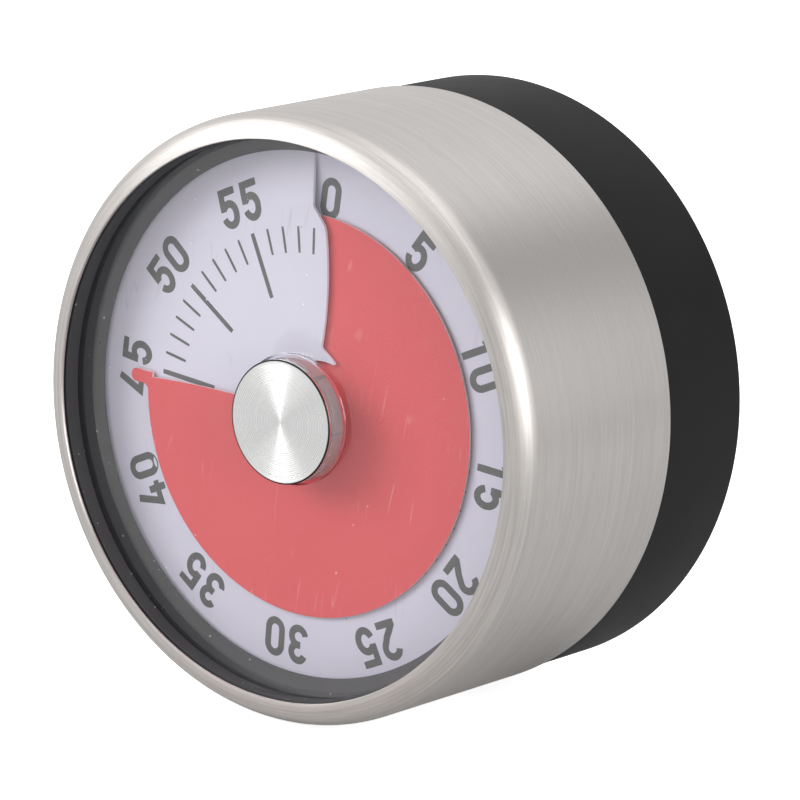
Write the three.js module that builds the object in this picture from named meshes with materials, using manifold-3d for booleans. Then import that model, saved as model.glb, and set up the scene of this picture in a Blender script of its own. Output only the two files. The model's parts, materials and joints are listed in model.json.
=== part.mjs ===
// Round 60-minute kitchen timer, in millimetres. The dial faces -Y, its 0 mark is towards +Z, and the
// origin is the centre of the flat back. "Depth" is the distance behind the front plane of the steel lip,
// and "bearing" is a clockwise angle in degrees from +Z, as the user reads the dial. At rest the knob
// stands at 45 minutes.
import * as THREE from 'three';
import { mergeVertices } from 'three/addons/utils/BufferGeometryUtils.js';
import Module from 'manifold-3d';

const wasm = await Module();
wasm.setup();

// ---- driving dimensions -------------------------------------------------------------------------
const CASE_DEPTH = 46.8; // whole timer, front plane to back
const SLEEVE_R = 39.5; // steel sleeve, outside
const SHEET = 0.5; // steel sheet thickness
const LIP_ROLL_R = 3.2; // outer radius of the rolled lip
const SEAM_DEPTH = 30.7; // rear end of the steel sleeve
const COVER_R = 39.2; // rear cover, outside
const COVER_FRONT = 31.0; // front edge of the rear cover
const COVER_WALL = 1.8; // rear cover's side wall
const COVER_BACK = 2.4; // rear cover's back wall
const GAP = 0.3; // running and assembly gap

const WINDOW_R = 36.05; // clear radius inside the bezel
const RING_OUT_R = 38.6; // bezel, lens and dial ring share this outside radius
const LENS_DEPTH = 3.1; // front face of the lens
const LENS_THICK = 1.6;
const LENS_HOLE_R = 8.45;
const DIAL_VIEW_R = 33.9; // inner edge of the sloping dial ring
const DIAL_RING_BACK = 7.0;

const DIAL_DEPTH = 7.8; // front of the white dial at bearing 0
const DIAL_THICK = 0.4;
const DIAL_R = 35.5;
const DIAL_HOLE_R = 7.5;
const RED_THICK = 0.3;
const RED_R = 26.1;
const RED_HOLE_R = 4.5;
const SHEET_GAP = 0.3; // air between the white dial and the red disc
const PITCH = DIAL_THICK + RED_THICK + 2 * SHEET_GAP; // rise of both discs in one turn
const RIM_FROM = 27.2; // outside this radius the dial flattens towards its rim
const RIM_SLOPE_LEFT = 0.25; // share of the rise that is left at the dial's visible edge
const DIAL_TUCK = 14; // degrees that the dial's lower end runs on under its flap

const KNOB_R = 8.0;
const KNOB_WALL = 0.9;
const KNOB_TOP = 1.7;
const KNOB_END = 5.6;
const KNOB_BOSS_R = 4.0;
const CAP_R = 8.05;
const CAP_DEPTH = 0.95;
const CAP_THICK = 0.45;
const REST_BEARING = 270; // the red disc's leading edge at 45 minutes

const ARBOR_R = 1.5;
const SHAFT_R = 0.9; // the train's arbors
const PIVOT_R = 0.6;
const PIVOT_HOLE_R = 0.9;
const HAMMER_ARBOR_R = 1.0;
const SHAKE = 0.1; // end play of arbors, pillars and wheels
const PIVOT_PROUD = 0.2;
const WHEEL_THICK = 0.8;
const PLATE_R = 32.3;
const PLATE_THICK = 1.0;
const FRONT_PLATE = 13.0;
const BACK_PLATE = 27.0;
const CAM_LEVEL = 14.4; // cam and third wheel
const SECOND_LEVEL = 15.8; // second wheel
const MAIN_LEVEL = 17.2; // main wheel
const ESCAPE_LEVEL = 19.4; // escape wheel
const SPRING_LEVEL = 20.0; // mainspring
const PILLAR_RING_R = 30;
const HOUSING_WALL = 9.3; // front of the wall behind the dial
const HOUSING_WALL_THICK = 1.4;
const HOUSING_INNER_R = 35.6;
const HOUSING_RECESS_R = 35.8; // room for the dial's rim
const SPIGOT_R = 37.0; // part of the housing inside the rear cover
const SPIGOT_LENGTH = 4;
const PILLAR_BEARINGS = [20, 140, 262];
const MOUNT_BEARINGS = [80, 200, 320];
const CASE_SCREW_RING_R = 35;
const CASE_SCREW_BEARINGS = [60, 180, 300];
const MAGNET_RING_R = 20;
const MAGNET_BEARINGS = [0, 120, 240];
const MAGNET_R = 5;
const MAGNET_THICK = 1.4;
const SLOT_BEARINGS = [60, 180, 300];
const SLOT_RADII = [13, 18, 23];
const SLOT_HALF_LENGTH = 3.3;
const SLOT_WIDTH = 1.4;

const SECOND_AT = { r: 17.5, bearing: 210 };
const THIRD_AT = { r: 17.5, bearing: 260.75 };
const ESCAPE_AT = { r: 20.5, bearing: 293.85 };
const PALLET_AT = { r: 21, bearing: 317.5 };
const CAM_R = 6;
const NOSE_BEARING = 90; // where the trip lever's nose meets the cam
const HAMMER_AT = { r: 20, bearing: 60 };
const HAMMER_HEAD_AT = { r: 27.4, bearing: 85 };
const TRIP_AT = { r: 19, bearing: 120 };
const POST_AT = { r: 13.8, bearing: 20 };

const MAIN_GEAR = { teeth: 48, pitchR: 15 };
const SECOND_PINION = { teeth: 8, pitchR: 2.5 };
const SECOND_GEAR = { teeth: 40, pitchR: 12.5 };
const THIRD_PINION = { teeth: 8, pitchR: 2.5 };
const THIRD_GEAR = { teeth: 42, pitchR: 9.6 };
const ESCAPE_PINION = { teeth: 7, pitchR: 1.6 };
const ESCAPE_TEETH = 15;
const ESCAPE_R = 5.5;

const GONG_R = 31;
const GONG_FRONT = 31.5;
const GONG_BACK = 41.6;
const GONG_SHEET = 0.9;
const GONG_BOLT_R = 2;
const SCREW_HEAD = 1.0;
const CASE_SCREW = { headR: 2.2, shankR: 1.0 };
const FRAME_SCREW = { headR: 1.9, shankR: 0.8 };

const ROUND = 48; // facets round the case
const MEDIUM = 32; // facets round smaller discs
const DISC = 20; // facets round magnets
const SMALL = 12; // facets round pins, screws and holes

// ---- finishes: colour, roughness, metalness -------------------------------------------------------
const STEEL = [0xc4bfba, 0.35, 1];
const SPUN = [0xd8d8d4, 0.25, 1];
const BRASS = [0xc9a24a, 0.35, 1];
const IRON = [0x8b8d90, 0.45, 1];
const BLACK = [0x2c2b2b, 0.5, 0];
const DARK_GREY = [0x444548, 0.45, 0];
const MID_GREY = [0x5c5d5f, 0.5, 0];
const WHITE = [0xcec8db, 0.55, 0];
const RED = [0xd5656b, 0.5, 0];
const CLEAR = [0xe6ecec, 0.05, 0];
const MAGNET = [0x6a6c70, 0.4, 1];

// ---- helpers ----------------------------------------------------------------------------------------
const radians = (degrees) => THREE.MathUtils.degToRad(degrees);
const behind = (depth) => depth - CASE_DEPTH;

// The x and z of a point at a radius and a clockwise bearing.
function around({ r, bearing }) {
  return [r * Math.sin(radians(bearing)), r * Math.cos(radians(bearing))];
}

// A solid of revolution about the knob's axis, from [radius, depth] corners of its section. A section
// that touches the axis starts and ends on it. Any other section is closed on itself.
function turned(section, facets = ROUND) {
  const points = section.map(([r, depth]) => new THREE.Vector2(r, behind(depth)));
  if (THREE.ShapeUtils.area(points) < 0) {
    points.reverse();
  }
  if (Math.min(...points.map((p) => p.x)) > 0) {
    points.push(points[0].clone());
  }
  return new THREE.LatheGeometry(points, facets);
}

// A flat plate cut from a shape drawn as the user sees it, with its front face at a depth.
function plate(shape, depth, thickness, curveSegments = 8) {
  const settings = { depth: thickness, bevelEnabled: false, curveSegments };
  const geometry = new THREE.ExtrudeGeometry(shape, settings);
  geometry.rotateX(Math.PI / 2);
  geometry.translate(0, behind(depth) + thickness, 0);
  return geometry;
}

function cylinder(radius, fromDepth, toDepth, facets = SMALL) {
  const geometry = new THREE.CylinderGeometry(radius, radius, toDepth - fromDepth, facets);
  geometry.translate(0, behind((fromDepth + toDepth) / 2), 0);
  return geometry;
}

// A cylinder standing at a place on the dial plane.
function peg(place, radius, fromDepth, toDepth, facets = SMALL) {
  const [x, z] = around(place);
  return cylinder(radius, fromDepth, toDepth, facets).translate(x, 0, z);
}

// A flat bar with round ends between two points [x, z].
function bar(from, to, width, depth, thickness) {
  const length = Math.hypot(to[0] - from[0], to[1] - from[1]);
  const shape = new THREE.Shape();
  shape.absarc(0, 0, width / 2, Math.PI, 2 * Math.PI, false);
  shape.absarc(0, length, width / 2, 0, Math.PI, false);
  const geometry = plate(shape, depth, thickness, 4);
  geometry.rotateY(Math.atan2(to[0] - from[0], to[1] - from[1]));
  geometry.translate(from[0], 0, from[1]);
  return geometry;
}

function toSolid(geometry) {
  const bare = geometry.clone();
  bare.deleteAttribute('normal');
  bare.deleteAttribute('uv');
  const merged = mergeVertices(bare, 1e-4);
  const vertProperties = new Float32Array(merged.attributes.position.array);
  const triVerts = new Uint32Array(merged.index.array);
  return new wasm.Manifold(new wasm.Mesh({ numProp: 3, vertProperties, triVerts }));
}

function toGeometry(solid) {
  const mesh = solid.getMesh();
  const geometry = new THREE.BufferGeometry();
  geometry.setAttribute('position', new THREE.BufferAttribute(mesh.vertProperties, 3));
  geometry.setIndex(new THREE.BufferAttribute(mesh.triVerts, 1));
  return geometry;
}

function join(...geometries) {
  const solids = geometries.map(toSolid);
  return toGeometry(solids.reduce((whole, next) => whole.add(next)));
}

function cut(body, ...tools) {
  const solids = tools.map(toSolid);
  return toGeometry(solids.reduce((whole, tool) => whole.subtract(tool), toSolid(body)));
}

function piece(name, geometry, [color, roughness, metalness]) {
  const material = new THREE.MeshStandardMaterial({ color, roughness, metalness });
  const mesh = new THREE.Mesh(geometry, material);
  mesh.name = name;
  return mesh;
}

// A quarter circle of [radius, depth] points about a centre, from one angle to another.
function roll(centreR, centreDepth, radius, fromDegrees, toDegrees, steps = 3) {
  return Array.from({ length: steps + 1 }, (_, i) => {
    const angle = radians(fromDegrees + ((toDegrees - fromDegrees) * i) / steps);
    return [centreR + radius * Math.cos(angle), centreDepth - radius * Math.sin(angle)];
  });
}

// ---- case -------------------------------------------------------------------------------------------
function frontSleeve() {
  const centreR = SLEEVE_R - LIP_ROLL_R;
  const outside = roll(centreR, LIP_ROLL_R, LIP_ROLL_R, 0, 90);
  const inside = roll(centreR, LIP_ROLL_R, LIP_ROLL_R - SHEET, 90, 0);
  const section = [[SLEEVE_R, SEAM_DEPTH], ...outside, ...inside, [SLEEVE_R - SHEET, SEAM_DEPTH]];
  return piece('front_sleeve', turned(section), STEEL);
}

// A ring that follows the inside of the rolled lip.
function bezelRing() {
  const front = SHEET + GAP;
  const back = LENS_DEPTH - SHAKE;
  const outer = RING_OUT_R - 0.4;
  const section = [
    [WINDOW_R, front],
    [WINDOW_R + 0.4, front],
    [outer, back - 0.5],
    [outer, back],
    [WINDOW_R, back],
  ];
  return piece('bezel_ring', turned(section), DARK_GREY);
}

function lens() {
  const back = LENS_DEPTH + LENS_THICK;
  const section = [
    [LENS_HOLE_R, LENS_DEPTH],
    [RING_OUT_R, LENS_DEPTH],
    [RING_OUT_R, back],
    [LENS_HOLE_R, back],
  ];
  return piece('lens', turned(section), CLEAR);
}

function dialRing() {
  const front = LENS_DEPTH + LENS_THICK + SHAKE;
  const edge = 0.3;
  const section = [
    [WINDOW_R, front],
    [RING_OUT_R, front],
    [RING_OUT_R, DIAL_RING_BACK],
    [DIAL_VIEW_R, DIAL_RING_BACK],
    [DIAL_VIEW_R, DIAL_RING_BACK - edge],
  ];
  return piece('dial_ring', turned(section), MID_GREY);
}

// One moulding: a tube inside the sleeve, the wall behind the dial, a narrower spigot inside the rear
// cover, three posts for the movement and three long bosses for the case screws.
function movementHousing() {
  const postR = 2.6;
  const bossR = 2.2;
  const wallBack = HOUSING_WALL + HOUSING_WALL_THICK;
  const root = wallBack - 0.4; // posts and bosses start inside the wall
  const bossHoleFrom = 30;
  const tube = turned([
    [RED_HOLE_R, HOUSING_WALL],
    [HOUSING_RECESS_R, HOUSING_WALL],
    [HOUSING_RECESS_R, DIAL_RING_BACK + GAP],
    [RING_OUT_R, DIAL_RING_BACK + GAP],
    [RING_OUT_R, COVER_FRONT - GAP],
    [SPIGOT_R, COVER_FRONT - GAP],
    [SPIGOT_R, COVER_FRONT + SPIGOT_LENGTH],
    [HOUSING_INNER_R, COVER_FRONT + SPIGOT_LENGTH],
    [HOUSING_INNER_R, wallBack],
    [RED_HOLE_R, wallBack],
  ]);
  const posts = MOUNT_BEARINGS.map((bearing) =>
    peg({ r: PILLAR_RING_R, bearing }, postR, root, FRONT_PLATE - SHAKE));
  const bosses = CASE_SCREW_BEARINGS.map((bearing) =>
    peg({ r: CASE_SCREW_RING_R, bearing }, bossR, root, CASE_DEPTH - COVER_BACK - GAP));
  const postHoles = MOUNT_BEARINGS.map((bearing) =>
    peg({ r: PILLAR_RING_R, bearing }, FRAME_SCREW.shankR + 0.4, wallBack, FRONT_PLATE + 1));
  const bossHoles = CASE_SCREW_BEARINGS.map((bearing) =>
    peg({ r: CASE_SCREW_RING_R, bearing }, CASE_SCREW.shankR + GAP, bossHoleFrom, CASE_DEPTH));
  const body = cut(join(tube, ...posts, ...bosses), ...postHoles, ...bossHoles);
  return piece('movement_housing', body, BLACK);
}

function rearCover() {
  const innerR = COVER_R - COVER_WALL;
  const floor = CASE_DEPTH - COVER_BACK;
  const edge = 0.4;
  const pocketFloor = 0.7;
  const counterboreFloor = 0.9;
  const cup = turned([
    [0, floor],
    [innerR, floor],
    [innerR, COVER_FRONT],
    [COVER_R, COVER_FRONT],
    [COVER_R, CASE_DEPTH - edge],
    [COVER_R - edge, CASE_DEPTH],
    [0, CASE_DEPTH],
  ]);
  const pockets = MAGNET_BEARINGS.map((bearing) =>
    peg({ r: MAGNET_RING_R, bearing }, MAGNET_R + GAP, floor + pocketFloor, CASE_DEPTH + 1, DISC));
  const holes = CASE_SCREW_BEARINGS.flatMap((bearing) => {
    const at = { r: CASE_SCREW_RING_R, bearing };
    return [
      peg(at, CASE_SCREW.shankR + 0.4, floor - 1, CASE_DEPTH + 1),
      peg(at, CASE_SCREW.headR + GAP, floor + counterboreFloor, CASE_DEPTH + 1),
    ];
  });
  const slots = SLOT_BEARINGS.flatMap((bearing) => SLOT_RADII.map((r) => {
    const aside = THREE.MathUtils.radToDeg(SLOT_HALF_LENGTH / r);
    const from = around({ r, bearing: bearing - aside });
    const to = around({ r, bearing: bearing + aside });
    return bar(from, to, SLOT_WIDTH, floor - 1, COVER_BACK + 2);
  }));
  return piece('rear_cover', cut(cup, ...pockets, ...holes, ...slots), BLACK);
}

// A cross-slot screw with its head at the back, its head's outer face at a depth.
function screw(name, place, { headR, shankR }, headDepth, tipDepth) {
  const headBase = headDepth - SCREW_HEAD;
  const section = [
    [0, headDepth],
    [headR, headDepth],
    [headR, headBase],
    [shankR, headBase],
    [shankR, tipDepth],
    [0, tipDepth],
  ];
  const slotLength = headR * 1.3;
  const slotWidth = headR * 0.28;
  const slot = new THREE.BoxGeometry(slotLength, SCREW_HEAD * 0.9, slotWidth);
  slot.translate(0, behind(headDepth), 0);
  const crossSlot = slot.clone().rotateY(Math.PI / 2);
  const [x, z] = around(place);
  return piece(name, cut(turned(section, SMALL), slot, crossSlot).translate(x, 0, z), IRON);
}

function caseFasteners() {
  const sunk = 0.2;
  const tip = COVER_FRONT + 1;
  return CASE_SCREW_BEARINGS.map((bearing, i) => screw(
    `case_screw_${i + 1}`, { r: CASE_SCREW_RING_R, bearing }, CASE_SCREW, CASE_DEPTH - sunk, tip));
}

function magnets() {
  const front = CASE_DEPTH - MAGNET_THICK;
  return MAGNET_BEARINGS.map((bearing, i) => piece(
    `magnet_${i + 1}`, peg({ r: MAGNET_RING_R, bearing }, MAGNET_R, front, CASE_DEPTH, DISC), MAGNET));
}

// ---- the two discs ----------------------------------------------------------------------------------
// Both discs are one turn of the same helix, so the red disc slides through the dial's slit. The dial's
// front stands at DIAL_DEPTH at bearing 0 and rises by PITCH in one turn.
const SLIT = [
  [DIAL_HOLE_R, -2],
  [9.15, 30],
  [9.8, 9.5],
  [24.8, 0.1],
  [RIM_FROM, -4.9],
  [DIAL_R, -6.8],
]; // radius and bearing along the flap's edge, from hub to rim
const RED_EDGE = [
  [RED_HOLE_R, 0.6],
  [RED_R, -3.6],
]; // radius and bearing along the red disc's leading edge at 0 minutes, where it lies under the flap
const NUB_MIDDLE = -3.8; // bearing of the red disc's pointer nub at 0 minutes
const NUB_REACH = 28.9;
const NUB_HALF_WIDTH = 0.8;
const RED_SWEEP = 359; // degrees from the red disc's leading edge back to its trailing edge

function bearingOn(edge, r) {
  const outer = edge.findIndex(([radius]) => radius >= r);
  if (outer === 0) {
    return edge[0][1];
  }
  if (outer < 0) {
    return edge[edge.length - 1][1];
  }
  const [r0, b0] = edge[outer - 1];
  const [r1, b1] = edge[outer];
  return THREE.MathUtils.mapLinear(r, r0, r1, b0, b1);
}

function dialDepth(r, bearing) {
  const out = THREE.MathUtils.clamp((r - RIM_FROM) / (DIAL_VIEW_R - RIM_FROM), 0, 1);
  return DIAL_DEPTH - (PITCH * bearing * (1 - (1 - RIM_SLOPE_LEFT) * out)) / 360;
}

// The red disc keeps the full rise out to its nub's tip, so that the nub clears the dial everywhere.
function redDepth(r, bearing) {
  return DIAL_DEPTH - SHEET_GAP - RED_THICK - (PITCH * bearing) / 360;
}

// A thin sheet between two bearings at each radius, with its front at depthAt(radius, bearing). A box
// with one layer of cells is bent onto it, so the sheet is closed.
function helixSheet(radii, startAt, endAt, depthAt, thickness, cells) {
  const box = new THREE.BoxGeometry(1, 1, 1, cells, radii.length - 1, 1);
  const p = box.attributes.position;
  for (let i = 0; i < p.count; i += 1) {
    const r = radii[Math.round((p.getY(i) + 0.5) * (radii.length - 1))];
    const bearing = THREE.MathUtils.lerp(startAt(r), endAt(r), p.getX(i) + 0.5);
    const [x, z] = around({ r, bearing });
    const depth = depthAt(r, bearing) + (p.getZ(i) > 0 ? 0 : thickness);
    p.setXYZ(i, x, behind(depth), z);
  }
  return box;
}

function dialFace() {
  const radii = SLIT.map(([r]) => r);
  const end = (r) => 360 + bearingOn(SLIT, r);
  const sheet = helixSheet(radii, () => -DIAL_TUCK, end, dialDepth, DIAL_THICK, 36);
  return piece('dial_face', sheet, WHITE);
}

function redDisc() {
  const lead = (r) => REST_BEARING + bearingOn(RED_EDGE, r);
  const radii = [0, 1, 2, 3].map((step) => THREE.MathUtils.lerp(RED_HOLE_R, RED_R, step / 3));
  const sheet = helixSheet(radii, (r) => lead(r) - RED_SWEEP, lead, redDepth, RED_THICK, 36);
  const nubMiddle = REST_BEARING + NUB_MIDDLE;
  const nubSpread = (r) => THREE.MathUtils.radToDeg(NUB_HALF_WIDTH / r);
  const nub = helixSheet(
    [RED_R - 1, (RED_R + NUB_REACH) / 2, NUB_REACH],
    (r) => nubMiddle - nubSpread(r),
    (r) => nubMiddle + nubSpread(r),
    redDepth, RED_THICK, 2);
  return piece('red_disc', join(sheet, nub), RED);
}

// ---- knob -------------------------------------------------------------------------------------------
function knobBody() {
  const inner = KNOB_R - KNOB_WALL;
  const web = KNOB_TOP + KNOB_WALL;
  const bossEnd = DIAL_DEPTH + 1;
  const ribWidth = 0.6;
  const ribBack = 0.4; // ribs end this far inside the skirt
  const shell = turned([
    [0, KNOB_TOP],
    [KNOB_R, KNOB_TOP],
    [KNOB_R, KNOB_END],
    [inner, KNOB_END],
    [inner, web],
    [KNOB_BOSS_R, web],
    [KNOB_BOSS_R, bossEnd],
    [0, bossEnd],
  ], MEDIUM);
  const ribs = [0, 60, 120].map((degrees) => {
    const rib = new THREE.BoxGeometry(2 * inner + KNOB_WALL / 2, KNOB_END - web, ribWidth);
    rib.translate(0, behind((web + KNOB_END - ribBack) / 2), 0);
    return rib.rotateY(radians(degrees));
  });
  const bore = cylinder(ARBOR_R + GAP, web + 0.6, bossEnd + 1);
  return piece('knob_body', cut(join(shell, ...ribs), bore), CLEAR);
}

function knobCap() {
  const edge = 0.15;
  const back = CAP_DEPTH + CAP_THICK;
  const section = [
    [0, CAP_DEPTH],
    [CAP_R - edge, CAP_DEPTH],
    [CAP_R, CAP_DEPTH + edge],
    [CAP_R, back],
    [0, back],
  ];
  return piece('knob_cap', turned(section, MEDIUM), SPUN);
}

// ---- wheels -----------------------------------------------------------------------------------------
// Straight-sided teeth, one tooth pointing at bearing 0. The tooth is widest at its root.
function gearShape({ teeth, pitchR }, boreR) {
  const module_ = (2 * pitchR) / teeth;
  const rootR = pitchR - 1.25 * module_;
  const tipR = pitchR + 0.9 * module_;
  const corners = [
    [rootR, -0.9 * module_],
    [tipR, -0.35 * module_],
    [tipR, 0.35 * module_],
    [rootR, 0.9 * module_],
  ];
  return toothed(teeth, corners, boreR);
}

// Pinion leaves with radial flanks and narrow tips.
function pinionShape({ teeth, pitchR }) {
  const module_ = (2 * pitchR) / teeth;
  const corners = [
    [pitchR - 1.2 * module_, -0.36 * module_],
    [pitchR, -0.55 * module_],
    [pitchR + 0.7 * module_, -0.2 * module_],
    [pitchR + 0.7 * module_, 0.2 * module_],
    [pitchR, 0.55 * module_],
    [pitchR - 1.2 * module_, 0.36 * module_],
  ];
  return toothed(teeth, corners, 0);
}

// Repeats one tooth's [radius, offset to the right] corners round a circle.
function toothed(teeth, corners, boreR) {
  const points = [];
  for (let tooth = 0; tooth < teeth; tooth += 1) {
    for (const [r, aside] of corners) {
      const angle = (2 * Math.PI * tooth) / teeth + Math.asin(aside / r);
      points.push(new THREE.Vector2(r * Math.sin(angle), r * Math.cos(angle)));
    }
  }
  const shape = new THREE.Shape(points);
  if (boreR) {
    shape.holes.push(new THREE.Path().absarc(0, 0, boreR, 0, 2 * Math.PI));
  }
  return shape;
}

// The bearing from one arbor to another.
function bearingBetween(from, to) {
  const [x0, z0] = around(from);
  const [x1, z1] = around(to);
  return THREE.MathUtils.radToDeg(Math.atan2(x1 - x0, z1 - z0));
}

// Places a mesh that was made about the knob's axis on its own arbor, turned to a bearing.
function onArbor(mesh, place, bearing = 0) {
  const [x, z] = around(place);
  mesh.position.set(x, 0, z);
  mesh.rotation.y = radians(bearing);
  return mesh;
}

// An arbor with thin pivots in both plates, and its pinion cut on it.
function pinionArbor(name, pinion, level, place, bearing) {
  const shaft = turned([
    [0, PIVOT_FRONT],
    [PIVOT_R, PIVOT_FRONT],
    [PIVOT_R, FRONT_PLATE + PLATE_THICK + SHAKE],
    [SHAFT_R, FRONT_PLATE + PLATE_THICK + SHAKE],
    [SHAFT_R, BACK_PLATE - SHAKE],
    [PIVOT_R, BACK_PLATE - SHAKE],
    [PIVOT_R, PIVOT_BACK],
    [0, PIVOT_BACK],
  ], SMALL);
  const leaves = plate(pinionShape(pinion), level, WHEEL_THICK + 2 * SHAKE);
  return onArbor(piece(name, join(shaft, leaves), IRON), place, bearing);
}

const CENTRE = { r: 0, bearing: 0 };
const MAIN_TO_SECOND = SECOND_AT.bearing;
const SECOND_TO_THIRD = bearingBetween(SECOND_AT, THIRD_AT);
const THIRD_TO_ESCAPE = bearingBetween(THIRD_AT, ESCAPE_AT);
const ESCAPE_TO_PALLET = bearingBetween(ESCAPE_AT, PALLET_AT);
const WHEEL_BORE = SHAFT_R + SHAKE;
const PIVOT_FRONT = FRONT_PLATE - PIVOT_PROUD;
const PIVOT_BACK = BACK_PLATE + PLATE_THICK + PIVOT_PROUD;
const MAIN_BORE = ARBOR_R + 2 * SHAKE;

function mainArbor() {
  const front = KNOB_TOP + 2 * KNOB_WALL;
  const pivotR = 1.1;
  const section = [
    [0, front],
    [ARBOR_R, front],
    [ARBOR_R, BACK_PLATE - SHAKE],
    [pivotR, BACK_PLATE - SHAKE],
    [pivotR, PIVOT_BACK],
    [0, PIVOT_BACK],
  ];
  return piece('main_arbor', turned(section, SMALL), IRON);
}

function mainWheel() {
  const body = plate(gearShape(MAIN_GEAR, MAIN_BORE), MAIN_LEVEL, WHEEL_THICK);
  return onArbor(piece('main_wheel', body, BRASS), CENTRE, MAIN_TO_SECOND);
}

// A dished three-armed washer that presses the main wheel against its arbor.
function clutchSpring() {
  const front = MAIN_LEVEL + WHEEL_THICK + GAP;
  const reach = 7;
  const armWidth = 1.8;
  const thickness = 0.4;
  const arms = [0, 60, 120].map((bearing) => {
    const tip = around({ r: reach, bearing });
    return bar([-tip[0], -tip[1]], tip, armWidth, front, thickness);
  });
  const hole = cylinder(MAIN_BORE, front - 1, front + 2);
  return piece('clutch_spring', cut(join(...arms), hole), IRON);
}

// A round cam with one notch that lets the trip lever drop at 0 minutes.
function tripCam() {
  const notchAt = { r: CAM_R + 0.6, bearing: NOSE_BEARING + REST_BEARING };
  const notch = peg(notchAt, 1.3, CAM_LEVEL - 1, CAM_LEVEL + 2);
  const disc = turned([
    [MAIN_BORE, CAM_LEVEL],
    [CAM_R, CAM_LEVEL],
    [CAM_R, CAM_LEVEL + WHEEL_THICK],
    [MAIN_BORE, CAM_LEVEL + WHEEL_THICK],
  ], MEDIUM);
  return piece('trip_cam', cut(disc, notch), BRASS);
}

function escapeShape() {
  const rootR = 4.1;
  const corners = [
    [rootR, -0.75],
    [ESCAPE_R, -0.1],
    [ESCAPE_R, 0.1],
    [rootR, 0.5],
  ];
  return toothed(ESCAPE_TEETH, corners, WHEEL_BORE);
}

function train() {
  const halfLeaf = (pinion) => 180 + 180 / pinion.teeth;
  const secondArbor = pinionArbor(
    'second_arbor', SECOND_PINION, MAIN_LEVEL - SHAKE, SECOND_AT, MAIN_TO_SECOND + halfLeaf(SECOND_PINION));
  const thirdArbor = pinionArbor(
    'third_arbor', THIRD_PINION, SECOND_LEVEL - SHAKE, THIRD_AT, SECOND_TO_THIRD + halfLeaf(THIRD_PINION));
  const escapeArbor = pinionArbor(
    'escape_arbor', ESCAPE_PINION, CAM_LEVEL - SHAKE, ESCAPE_AT, THIRD_TO_ESCAPE + halfLeaf(ESCAPE_PINION));
  const secondWheel = plate(gearShape(SECOND_GEAR, WHEEL_BORE), SECOND_LEVEL, WHEEL_THICK);
  const thirdWheel = plate(gearShape(THIRD_GEAR, WHEEL_BORE), CAM_LEVEL, WHEEL_THICK);
  const escapeWheel = plate(escapeShape(), ESCAPE_LEVEL, WHEEL_THICK + 2 * SHAKE);
  return [
    secondArbor,
    thirdArbor,
    escapeArbor,
    onArbor(piece('second_wheel', secondWheel, BRASS), SECOND_AT, SECOND_TO_THIRD),
    onArbor(piece('third_wheel', thirdWheel, BRASS), THIRD_AT, THIRD_TO_ESCAPE),
    onArbor(piece('escape_wheel', escapeWheel, BRASS), ESCAPE_AT, ESCAPE_TO_PALLET + 180 / ESCAPE_TEETH),
  ];
}

// ---- pallet -----------------------------------------------------------------------------------------
const PIN_R = 0.35;
const PIN_SPREAD = 49.7; // bearing of each pin from the line of centres, at the escape wheel
const PIN_ORBIT = ESCAPE_R + PIN_R + 0.15; // pin centre's distance from the escape wheel's centre at rest

function palletPins() {
  const [x0, z0] = around(ESCAPE_AT);
  return [-PIN_SPREAD, PIN_SPREAD].map((aside) => {
    const [x, z] = around({ r: PIN_ORBIT, bearing: ESCAPE_TO_PALLET + aside });
    return [x0 + x, z0 + z];
  });
}

function pallet() {
  const leverDepth = ESCAPE_LEVEL + WHEEL_THICK + 0.8;
  const armWidth = 1.3;
  const weightWidth = 1.6;
  const weightReach = 7.5;
  const hub = around(PALLET_AT);
  const pins = palletPins();
  const out = bearingBetween(ESCAPE_AT, PALLET_AT);
  const weights = [-70, 70].map((aside) => {
    const [x, z] = around({ r: weightReach, bearing: out + aside });
    return [hub[0] + x, hub[1] + z];
  });
  const arms = [...pins.map((p) => bar(hub, p, armWidth, leverDepth, WHEEL_THICK)),
    ...weights.map((p) => bar(hub, p, weightWidth, leverDepth, WHEEL_THICK))];
  const boss = peg(PALLET_AT, LEVER_BOSS_R, leverDepth, leverDepth + WHEEL_THICK);
  const hole = peg(PALLET_AT, PIVOT_HOLE_R, leverDepth - 1, leverDepth + 3);
  const shaft = peg(PALLET_AT, PIVOT_R, PIVOT_FRONT, PIVOT_BACK);
  const pinPieces = pins.map(([x, z], i) => {
    const pin = cylinder(PIN_R, ESCAPE_LEVEL - SHAKE, leverDepth - GAP).translate(x, 0, z);
    return piece(`pallet_pin_${i + 1}`, pin, IRON);
  });
  return [
    piece('pallet_lever', cut(join(boss, ...arms), hole), IRON),
    piece('pallet_arbor', shaft, IRON),
    ...pinPieces,
  ];
}

// ---- mainspring -------------------------------------------------------------------------------------
// A flat spiral ribbon. Its radius grows evenly with the turn.
function mainspring() {
  const turns = 4;
  const stepsPerTurn = 16;
  const innerR = 3;
  const growth = 2.3;
  const ribbon = 0.35;
  const height = 6;
  const steps = turns * stepsPerTurn;
  const side = (offset) => Array.from({ length: steps + 1 }, (_, i) => {
    const turn = i / stepsPerTurn;
    const [x, z] = around({ r: innerR + offset + growth * turn, bearing: 360 * turn + POST_AT.bearing });
    return new THREE.Vector2(x, z);
  });
  const shape = new THREE.Shape([...side(0), ...side(ribbon).reverse()]);
  return piece('mainspring', plate(shape, SPRING_LEVEL, height), IRON);
}

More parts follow.
